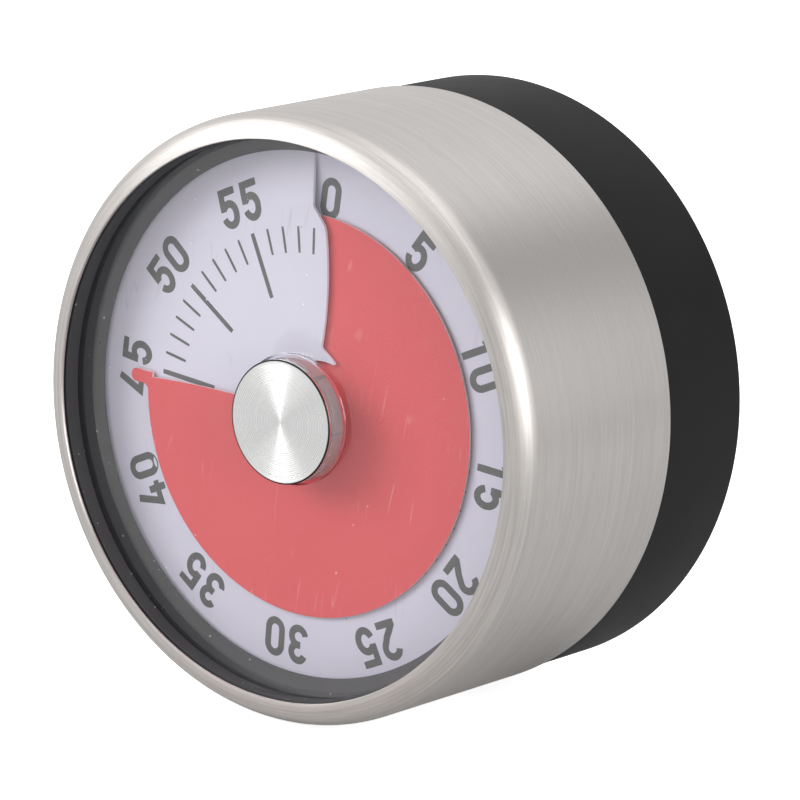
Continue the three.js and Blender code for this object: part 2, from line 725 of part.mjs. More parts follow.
// ---- frame ------------------------------------------------------------------------------------------
function movementPlate(name, depth, centreHoleR) {
  const holes = [
    peg(CENTRE, centreHoleR, depth - 1, depth + 3),
    ...[SECOND_AT, THIRD_AT, ESCAPE_AT, PALLET_AT].map((at) => peg(at, PIVOT_HOLE_R, depth - 1, depth + 3)),
    peg(HAMMER_AT, HAMMER_ARBOR_R + GAP, depth - 1, depth + 3),
  ];
  const screwBearings = depth === FRONT_PLATE ? MOUNT_BEARINGS : PILLAR_BEARINGS;
  const screwHoles = screwBearings.map((bearing) =>
    peg({ r: PILLAR_RING_R, bearing }, FRAME_SCREW.shankR + 0.4, depth - 1, depth + 3));
  const disc = cylinder(PLATE_R, depth, depth + PLATE_THICK, MEDIUM);
  return piece(name, cut(disc, ...holes, ...screwHoles), BRASS);
}

function pillars() {
  const pillarR = 1.8;
  const holeLength = 5;
  return PILLAR_BEARINGS.map((bearing, i) => {
    const at = { r: PILLAR_RING_R, bearing };
    const post = peg(at, pillarR, FRONT_PLATE + PLATE_THICK + SHAKE, BACK_PLATE - SHAKE);
    const hole = peg(at, FRAME_SCREW.shankR + GAP, BACK_PLATE - holeLength, BACK_PLATE + 1);
    return piece(`pillar_${i + 1}`, cut(post, hole), IRON);
  });
}

function frameScrews() {
  const proud = PLATE_THICK + SHAKE + SCREW_HEAD; // from a plate's front to the outside of a head behind it
  const rearTip = BACK_PLATE - 4;
  const frontTip = FRONT_PLATE - 1.9;
  const rear = PILLAR_BEARINGS.map((bearing, i) => screw(
    `plate_screw_${i + 1}`, { r: PILLAR_RING_R, bearing }, FRAME_SCREW, BACK_PLATE + proud, rearTip));
  const front = MOUNT_BEARINGS.map((bearing, i) => screw(
    `movement_screw_${i + 1}`, { r: PILLAR_RING_R, bearing }, FRAME_SCREW, FRONT_PLATE + proud, frontTip));
  return [...rear, ...front];
}

function springPost() {
  const postR = 0.9;
  const post = peg(POST_AT, postR, MAIN_LEVEL + 2 * WHEEL_THICK, BACK_PLATE - SHAKE);
  return piece('spring_post', post, IRON);
}

// ---- striking work ----------------------------------------------------------------------------------
const LEVER_BOSS_R = 2;
const TRIP_STUD_R = 0.7;

function tripLever() {
  const level = CAM_LEVEL;
  const pivot = around(TRIP_AT);
  const noseWidth = 1.2;
  const tailWidth = 1.4;
  const nose = around({ r: CAM_R + noseWidth / 2 + 0.35, bearing: NOSE_BEARING });
  const tail = around({ r: 26, bearing: 108 });
  const body = join(
    bar(pivot, nose, noseWidth, level, WHEEL_THICK),
    bar(pivot, tail, tailWidth, level, WHEEL_THICK),
    peg(TRIP_AT, LEVER_BOSS_R, level, level + WHEEL_THICK));
  const hole = peg(TRIP_AT, TRIP_STUD_R + GAP, level - 1, level + 2);
  return piece('trip_lever', cut(body, hole), IRON);
}

function tripStud() {
  const end = CAM_LEVEL + 2 * WHEEL_THICK;
  return piece('trip_stud', peg(TRIP_AT, TRIP_STUD_R, FRONT_PLATE + PLATE_THICK + SHAKE, end), IRON);
}

function hammer() {
  const armDepth = BACK_PLATE + PLATE_THICK + 1.4;
  const armThick = 1;
  const armWidth = 1.8;
  const headR = 1.8;
  const pivot = around(HAMMER_AT);
  const head = around(HAMMER_HEAD_AT);
  const boss = peg(HAMMER_AT, LEVER_BOSS_R, armDepth, armDepth + armThick);
  const arm = join(bar(pivot, head, armWidth, armDepth, armThick), boss);
  const hole = peg(HAMMER_AT, HAMMER_ARBOR_R + SHAKE, armDepth - 1, armDepth + 3);
  const headFront = armDepth + armThick + GAP;
  return [
    piece('hammer_arbor', peg(HAMMER_AT, HAMMER_ARBOR_R, PIVOT_FRONT, headFront), IRON),
    piece('hammer_arm', cut(arm, hole), IRON),
    piece('hammer_head', peg(HAMMER_HEAD_AT, headR, headFront, GONG_FRONT + 5), BRASS),
  ];
}

// A light torsion spring wound round the hammer's arbor.
const COIL = { r: 1.75, turns: 4, front: 19, back: 23, wireR: 0.22 };

class Helix extends THREE.Curve {
  getPoint(t, target = new THREE.Vector3()) {
    const [x, z] = around({ r: COIL.r, bearing: 360 * COIL.turns * t });
    return target.set(x, behind(THREE.MathUtils.lerp(COIL.front, COIL.back, t)), z);
  }
}

function hammerSpring() {
  const wire = new THREE.Shape();
  wire.absarc(0, 0, COIL.wireR, 0, 2 * Math.PI);
  const settings = { steps: 36, curveSegments: 3, bevelEnabled: false, extrudePath: new Helix() };
  return onArbor(piece('hammer_spring', new THREE.ExtrudeGeometry(wire, settings), IRON), HAMMER_AT);
}

function gong() {
  const inner = GONG_R - GONG_SHEET;
  const corner = 2;
  const outside = roll(GONG_R - corner, GONG_BACK - corner, corner, 0, -90);
  const inside = roll(GONG_R - corner, GONG_BACK - corner, corner - GONG_SHEET, -90, 0);
  const holeR = GONG_BOLT_R + 0.4;
  const section = [
    [holeR, GONG_BACK - GONG_SHEET],
    [holeR, GONG_BACK],
    ...outside.reverse(),
    [GONG_R, GONG_FRONT],
    [inner, GONG_FRONT],
    ...inside.reverse(),
  ];
  return piece('gong', turned(section, MEDIUM), STEEL);
}

function gongPost() {
  const postR = 4;
  const front = BACK_PLATE + PLATE_THICK + 0.5;
  const shoulder = GONG_BACK - GONG_SHEET - SHAKE;
  const end = GONG_BACK + 1.9;
  const section = [
    [0, front],
    [postR, front],
    [postR, shoulder],
    [GONG_BOLT_R, shoulder],
    [GONG_BOLT_R, end],
    [0, end],
  ];
  return piece('gong_post', turned(section, SMALL), IRON);
}

function gongNut() {
  const nutR = 4.5;
  const thickness = 1.6;
  const hexagon = cylinder(nutR, GONG_BACK + SHAKE, GONG_BACK + SHAKE + thickness, 6);
  const hole = cylinder(GONG_BOLT_R + 2 * SHAKE, GONG_BACK - 1, GONG_BACK + 3);
  return piece('gong_nut', cut(hexagon, hole), BRASS);
}

// ---- assembly ---------------------------------------------------------------------------------------
const timer = new THREE.Group();
timer.add(frontSleeve(), bezelRing(), lens(), dialRing(), movementHousing(), rearCover());
timer.add(...caseFasteners(), ...magnets());
timer.add(dialFace(), redDisc(), knobBody(), knobCap());
timer.add(movementPlate('front_plate', FRONT_PLATE, ARBOR_R + GAP));
timer.add(movementPlate('back_plate', BACK_PLATE, ARBOR_R - SHAKE));
timer.add(...pillars(), ...frameScrews(), mainspring(), springPost());
timer.add(mainArbor(), mainWheel(), clutchSpring(), tripCam(), ...train(), ...pallet());
timer.add(tripLever(), tripStud(), ...hammer(), hammerSpring());
timer.add(gong(), gongPost(), gongNut());

export default timer;
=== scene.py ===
"""A round sixty-minute timer: its surfaces, finishes and studio, built round its mechanical frame.

The dial faces -Y and its 0 mark is towards +Z. "Depth" is the distance behind the front plane of the
steel lip, and "bearing" is a clockwise angle from +Z as the user reads the dial. A point at radius r and
bearing b is x = r sin b, z = r cos b. Lengths are in metres.
"""

import json
import math

import bmesh
import bpy
import numpy as np
from bpy.props import FloatProperty, FloatVectorProperty, IntProperty, PointerProperty
from mathutils import Matrix, Vector


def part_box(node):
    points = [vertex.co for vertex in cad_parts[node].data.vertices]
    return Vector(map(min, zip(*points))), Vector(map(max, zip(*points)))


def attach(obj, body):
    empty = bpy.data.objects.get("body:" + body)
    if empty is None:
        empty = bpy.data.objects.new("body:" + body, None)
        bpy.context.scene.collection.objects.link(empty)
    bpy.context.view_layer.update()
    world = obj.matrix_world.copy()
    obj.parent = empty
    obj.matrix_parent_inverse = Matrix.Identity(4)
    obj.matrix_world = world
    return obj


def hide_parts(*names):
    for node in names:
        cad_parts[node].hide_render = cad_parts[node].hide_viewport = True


bl_info = {
    "name": "Sixty Minute Timer",
    "version": (1, 0, 0),
    "blender": (4, 5, 0),
    "location": "View3D > Sidebar > Timer",
    "description": "Builds the surfaces, finishes and studio of a round mechanical timer",
    "category": "Object",
}

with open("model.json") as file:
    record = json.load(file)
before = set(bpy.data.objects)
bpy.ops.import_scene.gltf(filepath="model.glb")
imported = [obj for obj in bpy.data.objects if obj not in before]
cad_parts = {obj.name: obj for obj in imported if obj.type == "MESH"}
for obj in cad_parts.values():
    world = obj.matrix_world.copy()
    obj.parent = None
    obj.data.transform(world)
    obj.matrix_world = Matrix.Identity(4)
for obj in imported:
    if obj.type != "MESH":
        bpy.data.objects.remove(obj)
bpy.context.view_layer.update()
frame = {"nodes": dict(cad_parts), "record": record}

MM = 0.001
TURN = 2 * math.pi
MERGE = 1e-7
TINY = 1e-9


# ---- sizes taken from the frame ------------------------------------------------------------------
def reach(node):
    """Radius of a turned node about the knob's axis."""
    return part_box(node)[1].x


def front(node):
    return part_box(node)[0].y


def back(node):
    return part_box(node)[1].y


FRONT = front("front_sleeve")
SEAM = back("front_sleeve")
SLEEVE_R = reach("front_sleeve")
RING_R = reach("lens")
COVER_R = reach("rear_cover")
CAP_R = reach("knob_cap")
DIAL_R = reach("dial_face")
KNOB_TOP = front("knob_body")
KNOB_BACK = back("knob_body")

# ---- sizes inside the nodes, the same as the mechanical design's ---------------------------------
WINDOW_R = 36.05 * MM
LENS_HOLE_R = 8.45 * MM
DIAL_VIEW_R = 33.9 * MM
DIAL_HOLE_R = 7.5 * MM
DIAL_DEPTH = 7.8 * MM
DIAL_THICK = 0.4 * MM
DISC_THICK = 0.3 * MM
DISC_R = 26.1 * MM
DISC_HOLE_R = 4.5 * MM
SHEET_GAP = 0.3 * MM
PITCH = DIAL_THICK + DISC_THICK + 2 * SHEET_GAP
RIM_FROM = 27.2 * MM
RIM_SLOPE_LEFT = 0.25
DIAL_TUCK = math.radians(14)
REST_BEARING = math.radians(270)
KNOB_R = 8.0 * MM
KNOB_WALL = 0.9 * MM
KNOB_END = 5.6 * MM
KNOB_BOSS_R = 4.0 * MM
ARBOR_HOLE_R = 1.8 * MM
COVER_WALL = 1.8 * MM
COVER_BACK = 2.4 * MM
MAGNET_RING_R = 20 * MM
MAGNET_R = 5 * MM
MAGNET_BEARINGS = np.radians([0, 120, 240])
SCREW_RING_R = 35 * MM
SCREW_BEARINGS = np.radians([60, 180, 300])
SCREW_POCKET_R = 2.5 * MM
SCREW_HOLE_R = 1.4 * MM
SCREW_SEAT = 0.9 * MM
POCKET_FLOOR = 0.7 * MM
SOUND_SLOT_RADII = np.array([13, 18, 23]) * MM
SOUND_SLOT_HALF = 3.3 * MM
SOUND_SLOT_WIDE = 1.4 * MM

# The flap's edge, from hub to rim: radius and bearing of its corners.
FLAP_R = np.array([7.5, 9.15, 9.8, 24.8, 27.2, 35.5]) * MM
FLAP_BEARING = np.radians([-2, 30, 9.5, 0.1, -4.9, -6.8])
# The red disc's leading edge at 0 minutes, from hub to rim.
LEAD_R = np.array([DISC_HOLE_R, DISC_R])
LEAD_BEARING = np.radians([0.6, -3.6])


# ---- settings ------------------------------------------------------------------------------------
def length(name, default, about):
    return FloatProperty(name=name, description=about, default=default, subtype="DISTANCE", unit="LENGTH")


def colour(name, default, about):
    look = {"subtype": "COLOR", "size": 3, "min": 0, "max": 1}
    return FloatVectorProperty(name=name, description=about, default=default, **look)


def angle(name, degrees, about):
    turn = math.radians(degrees)
    return FloatProperty(name=name, description=about, default=turn, subtype="ANGLE", unit="ROTATION")


def power(name, watts, about):
    return FloatProperty(name=name, description=about, default=watts, unit="POWER")


class CaseSettings(bpy.types.PropertyGroup):
    """Steel sleeve, bezel and rear housing."""

    lip: length("Lip", 3.2 * MM, "Outer radius of the rolled steel lip")
    sheet: length("Sheet", 0.5 * MM, "Thickness of the steel sheet")
    edge: length("Edge", 0.4 * MM, "Rounding of the rear housing's back edge")
    steel_light: colour("Light steel", (0.74, 0.71, 0.685), "Raised strands of the brushed steel")
    steel_dark: colour("Dark steel", (0.56, 0.53, 0.505), "Hollows of the brushed steel")
    # Painted dark reflection: the lip's colour is darkened towards this along its coarse brushing, standing
    # for the dark reflection in the rolled lip.
    lip_dark: colour("Lip hollows", (0.3, 0.28, 0.26), "Hollows of the coarser brushing on the lip")
    wall: colour("Bezel wall", (0.05, 0.05, 0.053), "Dark wall between lip and lens")
    cone: colour("Dial ring", (0.042, 0.042, 0.045), "Sloping ring round the dial")
    black: colour("Rear black", (0.006, 0.0059, 0.0058), "Rear housing")
    steps: IntProperty(name="Steps", description="Facets round the case", default=256, min=48)


class DialSettings(bpy.types.PropertyGroup):
    """White dial and its print."""

    white: colour("White", (0.69, 0.65, 0.765), "Dial sheet")
    ink: colour("Ink", (0.078, 0.077, 0.078), "Numerals and minute marks")
    numeral_r: length("Numeral radius", 29.24 * MM, "From the ring's centre to a numeral's middle")
    numerals_right: length("Numerals right", 0.39 * MM, "Offset of the numerals' ring to the right")
    numerals_up: length("Numerals up", -0.97 * MM, "Offset of the numerals' ring upwards")
    single_right: length("Single digit", -1.0 * MM, "Sideways offset of a number with one digit")
    marks_right: length("Marks right", 0.9 * MM, "Offset of the marks' ring to the right")
    marks_up: length("Marks up", -0.45 * MM, "Offset of the marks' ring upwards")
    stroke: length("Stroke", 0.96 * MM, "Width of a numeral's strokes")
    digit_gap: length("Digit spacing", 3.85 * MM, "Distance between the middles of two digits")
    mark_out: length("Mark end", 25.05 * MM, "Outer end of the minute marks")
    mark_in: length("Mark start", 21.7 * MM, "Inner end of a minute mark")
    long_mark_in: length("Long mark start", 16.6 * MM, "Inner end of a five-minute mark")
    mark_wide: length("Mark width", 0.38 * MM, "Width of a minute mark")
    long_mark_wide: length("Long mark width", 0.66 * MM, "Width of a five-minute mark")


class DiscSettings(bpy.types.PropertyGroup):
    """Red time disc."""

    red: colour("Red", (0.72, 0.09, 0.1), "Printed face of the disc")
    core: colour("Core", (0.78, 0.62, 0.63), "Cut edge of the disc")
    nub_half: length("Nub half width", 0.8 * MM, "Half the width of the pointer nub")
    nub_reach: length("Nub reach", 28.9 * MM, "Radius of the nub's tip")
    nub_fillet: length("Nub fillet", 1.0 * MM, "Rounding between the nub and the rim")
    step: length("Nub root", 0.7 * MM, "How far inside the rim the nub's leading side starts")
    nub_back: angle("Nub offset", 3.8, "How far the nub's middle lies behind the reading")


class KnobSettings(bpy.types.PropertyGroup):
    """Clear knob with its spun cap."""

    ring_pitch: length("Ring pitch", 0.262 * MM, "Distance between two rings of the cap")
    ring_depth: length("Ring depth", 0.018 * MM, "Depth of a ring of the cap")
    cap: colour("Cap", (0.97, 0.97, 0.96), "Spun metal")
    # Painted shade: a dark line round the cap's front edge, standing for the shadow gap and the dark side
    # of the knob there.
    rim: colour("Cap rim", (0.05, 0.045, 0.045), "Dark line round the cap")
    clear: colour("Clear", (0.78, 0.76, 0.77), "Clear moulding")
    rib: length("Rib", 0.6 * MM, "Thickness of the knob's ribs")


class StudioSettings(bpy.types.PropertyGroup):
    """Camera, floor and lights."""

    azimuth: angle("Azimuth", 36.89, "Camera's bearing round the timer")
    elevation: angle("Elevation", 16.36, "Camera's height angle")
    roll: angle("Roll", 6.47, "Camera's turn about its line of sight")
    distance: length("Distance", 0.7193, "Camera to the point it looks at")
    lens: FloatProperty(name="Lens", description="Focal length in millimetres", default=250.44)
    key: power("Key", 4.3, "Soft box at the left")
    top: power("Top", 1.7, "Soft box overhead")
    side: power("Side", 3.3, "Soft box at the right")
    front: power("Front", 0.8, "Small soft box near the camera's left")


# ---- surfaces ------------------------------------------------------------------------------------
def ring_point(r, bearing):
    """x and z of a point at a radius and a bearing."""
    return r * np.sin(bearing), r * np.cos(bearing)


def outward_axes(bearing):
    """Two unit vectors in (x, z) at a bearing: outwards from the knob's axis, and clockwise round it."""
    return np.array(ring_point(1, bearing)), np.array([math.cos(bearing), -math.sin(bearing)])


def at_depth(depth):
    return FRONT + depth


def smooth(t):
    """Goes from 0 to 1 with level ends: t^2 (3 - 2 t), with t held between 0 and 1."""
    t = np.clip(t, 0, 1)
    return t * t * (3 - 2 * t)


def grid_faces(rows, columns, wrap_rows=False, wrap_columns=False):
    """Four corner numbers for each cell of a grid. A wrapped side joins the last line to the first."""
    i = np.arange(rows if wrap_rows else rows - 1)[:, None]
    j = np.arange(columns if wrap_columns else columns - 1)[None, :]
    i_next, j_next = (i + 1) % rows, (j + 1) % columns
    corners = [i * columns + j, i * columns + j_next, i_next * columns + j_next, i_next * columns + j]
    return np.stack(np.broadcast_arrays(*corners), -1).reshape(-1, 4)


def mesh_from(name, points, faces):
    """A mesh with its doubles merged, so that poles and seams are closed, and its faces turned outwards."""
    mesh = bpy.data.meshes.new(name)
    mesh.from_pydata(points.reshape(-1, 3).tolist(), [], faces.tolist())
    shape = bmesh.new()
    shape.from_mesh(mesh)
    bmesh.ops.remove_doubles(shape, verts=shape.verts, dist=MERGE)
    bmesh.ops.dissolve_degenerate(shape, edges=shape.edges, dist=MERGE)
    bmesh.ops.recalc_face_normals(shape, faces=shape.faces)
    shape.to_mesh(mesh)
    shape.free()
    return mesh


def finish_piece(name, mesh, finishes, body, stands_for=(), crease=35):
    """Shades the mesh smooth except along creases, and hangs it on its body."""
    mesh.shade_smooth()
    mesh.set_sharp_from_angle(angle=math.radians(crease))
    for finish in finishes:
        mesh.materials.append(finish)
    piece = bpy.data.objects.new(name, mesh)
    bpy.context.scene.collection.objects.link(piece)
    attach(piece, body)
    if stands_for:
        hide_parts(*stands_for)
    return piece


def eased(corners, cuts, closed, steps=5):
    """A section with rounded corners. Each corner P gives way to the quadratic curve
    (1-s)^2 A + 2 s (1-s) P + s^2 B, where A and B lie on its two sides at its cut distance."""
    p = np.asarray(corners, float)
    cuts = np.broadcast_to(np.asarray(cuts, float), len(p))[:, None]
    before = np.roll(p, 1, 0) - p
    after = np.roll(p, -1, 0) - p
    if not closed:
        before[0] = 0
        after[-1] = 0

    def cut_point(side):
        length_of_side = np.linalg.norm(side, axis=1, keepdims=True)
        return (p + cuts * side / np.maximum(length_of_side, MERGE))[:, None]

    a = cut_point(before)
    b = cut_point(after)
    s = np.linspace(0, 1, steps)[None, :, None]
    return ((1 - s) ** 2 * a + 2 * s * (1 - s) * p[:, None] + s**2 * b).reshape(-1, 2)


def turned(section, steps, closed=True, centre=(0, 0)):
    """Points and faces of a surface of revolution about an axis along Y: a section point (r, y) goes to
    x = r sin b, z = r cos b for bearings b all round. An open section starts and ends on the axis."""
    r, y = np.asarray(section, float).T[:, :, None]
    x, z = ring_point(r, np.linspace(0, TURN, steps, endpoint=False)[None])
    points = np.stack(np.broadcast_arrays(x + centre[0], y, z + centre[1]), -1)
    return points, grid_faces(len(section), steps, closed, True)


def arc(centre_r, centre_y, radius, start, end, steps=16):
    """Section points on a circle: r = centre + radius cos a, y = centre - radius sin a."""
    a = np.radians(np.linspace(start, end, steps))
    return np.stack([centre_r + radius * np.cos(a), centre_y - radius * np.sin(a)], -1)


def prism(outline, low, high):
    """A straight solid along Y over a closed outline of (x, z) points. Each end is a flat fan of faces
    round the outline's middle."""
    outline = np.asarray(outline, float)
    middle = np.broadcast_to(outline.mean(0), outline.shape)
    rows = [(middle, low), (outline, low), (outline, high), (middle, high)]
    points = np.stack([np.insert(xz, 1, y, axis=1) for xz, y in rows])
    return points, grid_faces(4, len(outline), False, True)


def stadium(reach_along, width, centre, bearing, steps=32):
    """Outline of a slot with round ends, along the clockwise direction at a bearing: a circle of the slot's
    width whose two halves move apart."""
    a = np.linspace(0, TURN, steps, endpoint=False)
    along = np.cos(a) * width / 2 + np.sign(np.cos(a) + MERGE) * (reach_along - width) / 2
    aside = np.sin(a) * width / 2
    outwards, clockwise = outward_axes(bearing)
    return np.asarray(centre) + aside[:, None] * outwards + along[:, None] * clockwise


def join_parts(parts):
    """One array of points and one of faces from several."""
    starts = np.cumsum([0] + [points.reshape(-1, 3).shape[0] for points, _ in parts[:-1]])
    points = np.concatenate([points.reshape(-1, 3) for points, _ in parts])
    return points, np.concatenate([faces + start for (_, faces), start in zip(parts, starts)])


def carve(name, base, tools, operation="DIFFERENCE"):
    """The base mesh with every tool cut from it, or joined to it."""
    objects = [bpy.data.objects.new(name + suffix, mesh_from(name + suffix, *part))
               for suffix, part in (("_base", base), ("_tools", join_parts(tools)))]
    for o in objects:
        bpy.context.scene.collection.objects.link(o)
    step = objects[0].modifiers.new("carve", "BOOLEAN")
    step.operation = operation
    step.solver = "EXACT"
    step.use_self = True
    step.object = objects[1]
    evaluated = objects[0].evaluated_get(bpy.context.evaluated_depsgraph_get())
    mesh = bpy.data.meshes.new_from_object(evaluated)
    for o in objects:
        bpy.data.objects.remove(o)
    mesh.name = name
    return mesh


# ---- the two helical sheets ----------------------------------------------------------------------
def flap_bearing(r, soften=0.22 * MM):
    """Bearing of the flap's edge at a radius: straight runs between its corners, averaged over a short
    stretch of radius on both sides so that the corners are round."""
    shifts = np.linspace(-soften, soften, 9)
    return np.mean([np.interp(r + s, FLAP_R, FLAP_BEARING) for s in shifts], axis=0)


def dial_depth(r, bearing):
    """Depth of the dial's front: the hub's depth less PITCH for each turn of bearing. Outside RIM_FROM the
    rise falls off evenly, to the share RIM_SLOPE_LEFT at the edge of the view."""
    out = np.clip((r - RIM_FROM) / (DIAL_VIEW_R - RIM_FROM), 0, 1)
    return DIAL_DEPTH - PITCH * bearing * (1 - (1 - RIM_SLOPE_LEFT) * out) / TURN


def disc_depth(bearing):
    """Depth of the red disc's front, a gap behind the dial's level and with the same rise."""
    return DIAL_DEPTH - SHEET_GAP - DISC_THICK - PITCH * bearing / TURN


def sheet_solid(front_points, thickness, keep=None):
    """Closes a grid of points into a sheet: the same grid again one thickness further back, and a wall
    along every edge that only one cell has. Cells where keep is false are left out."""
    rows, columns = front_points.shape[:2]
    cells = grid_faces(rows, columns)
    if keep is not None:
        cells = cells[keep.ravel()]
    ahead = front_points.reshape(-1, 3)
    behind = ahead + np.array([0, thickness, 0])
    edges = np.concatenate([cells[:, [k, (k + 1) % 4]] for k in range(4)])
    key = np.sort(edges, axis=1) @ np.array([rows * columns, 1])
    _, first, count = np.unique(key, return_index=True, return_counts=True)
    open_edges = edges[first[count == 1]]
    shift = rows * columns
    walls = np.concatenate([open_edges[:, ::-1], open_edges + shift], axis=1)
    faces = np.concatenate([cells, cells[:, ::-1] + shift, walls])
    return np.concatenate([ahead, behind]), faces


def mark_walls(mesh):
    """Gives the second finish to the faces of a sheet that stand across it."""
    normals = np.zeros(len(mesh.polygons) * 3)
    mesh.polygons.foreach_get("normal", normals)
    across = np.abs(normals.reshape(-1, 3)[:, 1]) < 0.5
    mesh.polygons.foreach_set("material_index", across.astype(np.int32))


def helix_points(r, bearing, depth):
    """Points at a radius, a bearing and a depth."""
    x, z = ring_point(r, bearing)
    return np.stack([x, at_depth(depth), z], -1)


# ---- printing ------------------------------------------------------------------------------------
def bow(centre, radii, start, end, steps=26):
    """Points on an ellipse: centre + radii times (cos a, sin a)."""
    a = np.radians(np.linspace(start, end, steps))
    return np.stack([centre[0] + radii[0] * np.cos(a), centre[1] + radii[1] * np.sin(a)], -1)


def line(*points):
    return np.array(points, float)


def digit_paths():
    """Middle lines of the strokes of each digit in millimetres, in a box about 2.5 wide and 5 high. A digit
    is a list of strokes, and each stroke is a pair: its runs of points, and whether it is closed."""
    half, top, end = 1.1, 2.12, 2.6
    zero = [bow((0, 1.0), (half, 1.14), 0, 180), bow((0, -1.0), (half, 1.14), 180, 360)]
    two = [bow((0, 1.08), (half, 1.06), 168, -30), line((0.25, -0.5), (-half, -1.95))]
    upper = [bow((0, 1.1), (half - 0.05, 1.04), 166, -90), line((-0.35, 0.06))]
    lower = [line((-0.35, 0.1)), bow((0, -1.02), (half, 1.12), 90, -166)]
    bowl = [bow((0, -0.78), (half, 1.36), 150, -166)]
    hook = [line((0.05, end), (-1.2, -1.2), (1.55, -1.2))]
    return {
        "0": [(zero, True)],
        "1": [([line((-0.75, 1.2), (0.3, 2.0))], False), ([line((0.35, end), (0.35, -end))], False)],
        "2": [(two, False), ([line((-half - 0.4, -top), (half + 0.4, -top))], False)],
        "3": [(upper, False), (lower, False)],
        "4": [(hook, False), ([line((0.6, 0.3), (0.6, -end))], False)],
        "5": [([line((half + 0.3, top), (-0.95, top), (-1.0, -0.25))], False), (bowl, False)],
    }


def densified(runs, closed, spacing=0.66, same=1e-6):
    """One line through all runs, with points added at even steps along each straight stretch that is at
    least two spacings long. Repeated points are left out."""
    path = np.concatenate(runs)
    if closed:
        path = np.vstack([path, path[:1]])
    pieces = []
    for a, b in zip(path[:-1], path[1:]):
        gap = np.linalg.norm(b - a)
        if gap > same:
            share = np.linspace(0, 1, max(1, int(gap / spacing)), endpoint=False)[:, None]
            pieces.append(a + (b - a) * share)
    dense = np.concatenate(pieces)
    return dense if closed else np.vstack([dense, path[-1:]])


def ribbon(path, closed, width, corner):
    """Left and right edges of a stroke along its middle line. Each point moves sideways by half the width,
    square to the mean of its neighbours' directions and further at a corner, so that both edges stay
    parallel to the line. An open stroke narrows at its ends as a quarter circle of the corner radius."""
    def unit(vectors):
        return vectors / np.maximum(np.linalg.norm(vectors, axis=1, keepdims=True), TINY)

    ahead = unit(np.roll(path, -1, 0) - path)
    if not closed:
        ahead[-1] = ahead[-2]
    behind = np.roll(ahead, 1, 0)
    if not closed:
        behind[0] = ahead[0]
    mean = unit(ahead + behind)
    stretch = 1 / np.clip((mean * ahead).sum(1), 0.5, 1)
    half = np.full(len(path), width / 2)
    if not closed:
        run = np.r_[0, np.cumsum(np.linalg.norm(np.diff(path, axis=0), axis=1))]
        to_end = np.minimum(run, run[-1] - run)
        half = half - corner + np.sqrt(np.maximum(corner**2 - np.maximum(corner - to_end, 0) ** 2, 0))
    aside = np.stack([-mean[:, 1], mean[:, 0]], -1) * (half * stretch)[:, None]
    return path + aside, path - aside


MINUTES = 60
LONG_EVERY = 5
INK_PROUD = 0.012 * MM
INK_LAYER = 0.005 * MM
INK_SUNK = 0.05 * MM
STROKE_END = 0.03 * MM


def ink_solid(left, right, closed, to_dial, layer=0):
    """A flat stroke printed on the dial. Its four edges run along the stroke: both sides just in front of
    the sheet and both sides just inside it. The ends of an open stroke close on their middle. A later layer
    stands a little further out than the stroke that it crosses."""
    sides = np.stack([left, right, right, left], 1)
    top = INK_PROUD + layer * INK_LAYER
    lift = np.array([top, top, -INK_SUNK, -INK_SUNK])[None]
    if not closed:
        ends = sides[[0, -1]].mean(1, keepdims=True).repeat(4, 1)
        sides = np.concatenate([ends[:1], sides, ends[1:]])
        lift = np.vstack([np.zeros((1, 4)), np.repeat(lift, len(left), 0), np.zeros((1, 4))])
        lift[[0, -1]] = (top - INK_SUNK) / 2
    r, bearing = to_dial(sides[..., 0], sides[..., 1])
    points = helix_points(r, bearing, dial_depth(r, bearing))
    points[..., 1] -= lift
    return points, grid_faces(len(sides), 4, closed, True)


def offset_print(bearing, right, up):
    """Turns a point of a print ring's own frame, across and out from the ring's centre at a bearing, into
    radius and bearing about the knob's axis, when the ring's centre stands right and up of that axis."""
    aside = right * math.cos(bearing) - up * math.sin(bearing)
    ahead = right * math.sin(bearing) + up * math.cos(bearing)
    return lambda across, out: (
        np.hypot(across + aside, out + ahead), bearing + np.arctan2(across + aside, out + ahead))


def numeral(text, bearing, settings):
    """Strokes of a number whose top points outwards, at a bearing."""
    paths = digit_paths()
    on_dial = offset_print(bearing, settings.numerals_right, settings.numerals_up)
    solids = []
    for position, digit in enumerate(text):
        shift = (position - (len(text) - 1) / 2) * settings.digit_gap
        if len(text) == 1:
            shift = settings.single_right
        middle = np.array([shift, settings.numeral_r])
        for layer, (runs, closed) in enumerate(paths[digit]):
            path = middle + densified(runs, closed) * MM
            edges = ribbon(path, closed, settings.stroke, STROKE_END)
            solids.append(ink_solid(*edges, closed, on_dial, layer))
    return solids


# ---- shader building blocks ----------------------------------------------------------------------
def node(tree, kind, inputs=None, **settings):
    """Adds a shader node. An input is a number, a colour, or the socket that feeds it."""
    made = tree.nodes.new("ShaderNode" + kind)
    for key, value in settings.items():
        setattr(made, key, value)
    for key, value in (inputs or {}).items():
        if isinstance(value, bpy.types.NodeSocket):
            tree.links.new(value, made.inputs[key])
        else:
            made.inputs[key].default_value = value
    return made


def maths(tree, operation, a, b=0.0):
    return node(tree, "Math", {0: a, 1: b}, operation=operation).outputs[0]


def spread(tree, value, low, high, to_low=0.0, to_high=1.0):
    """Maps a value's range to another, clamped."""
    inputs = {"Value": value, "From Min": low, "From Max": high, "To Min": to_low, "To Max": to_high}
    return node(tree, "MapRange", inputs).outputs["Result"]


def product(tree, a, b):
    return maths(tree, "MULTIPLY", a, b)


def total(tree, a, b):
    return maths(tree, "ADD", a, b)


def mixed(tree, share, a, b):
    """Blends two colours."""
    inputs = {0: share, 6: tint(a), 7: tint(b)}
    return node(tree, "Mix", inputs, data_type="RGBA").outputs[2]


def tint(value):
    return value if isinstance(value, bpy.types.NodeSocket) else (*value[:3], 1.0)


def noise(tree, vector, scale, detail=3.0, roughness=0.55):
    inputs = {"Vector": vector, "Scale": scale, "Detail": detail, "Roughness": roughness}
    return node(tree, "TexNoise", inputs).outputs[0]


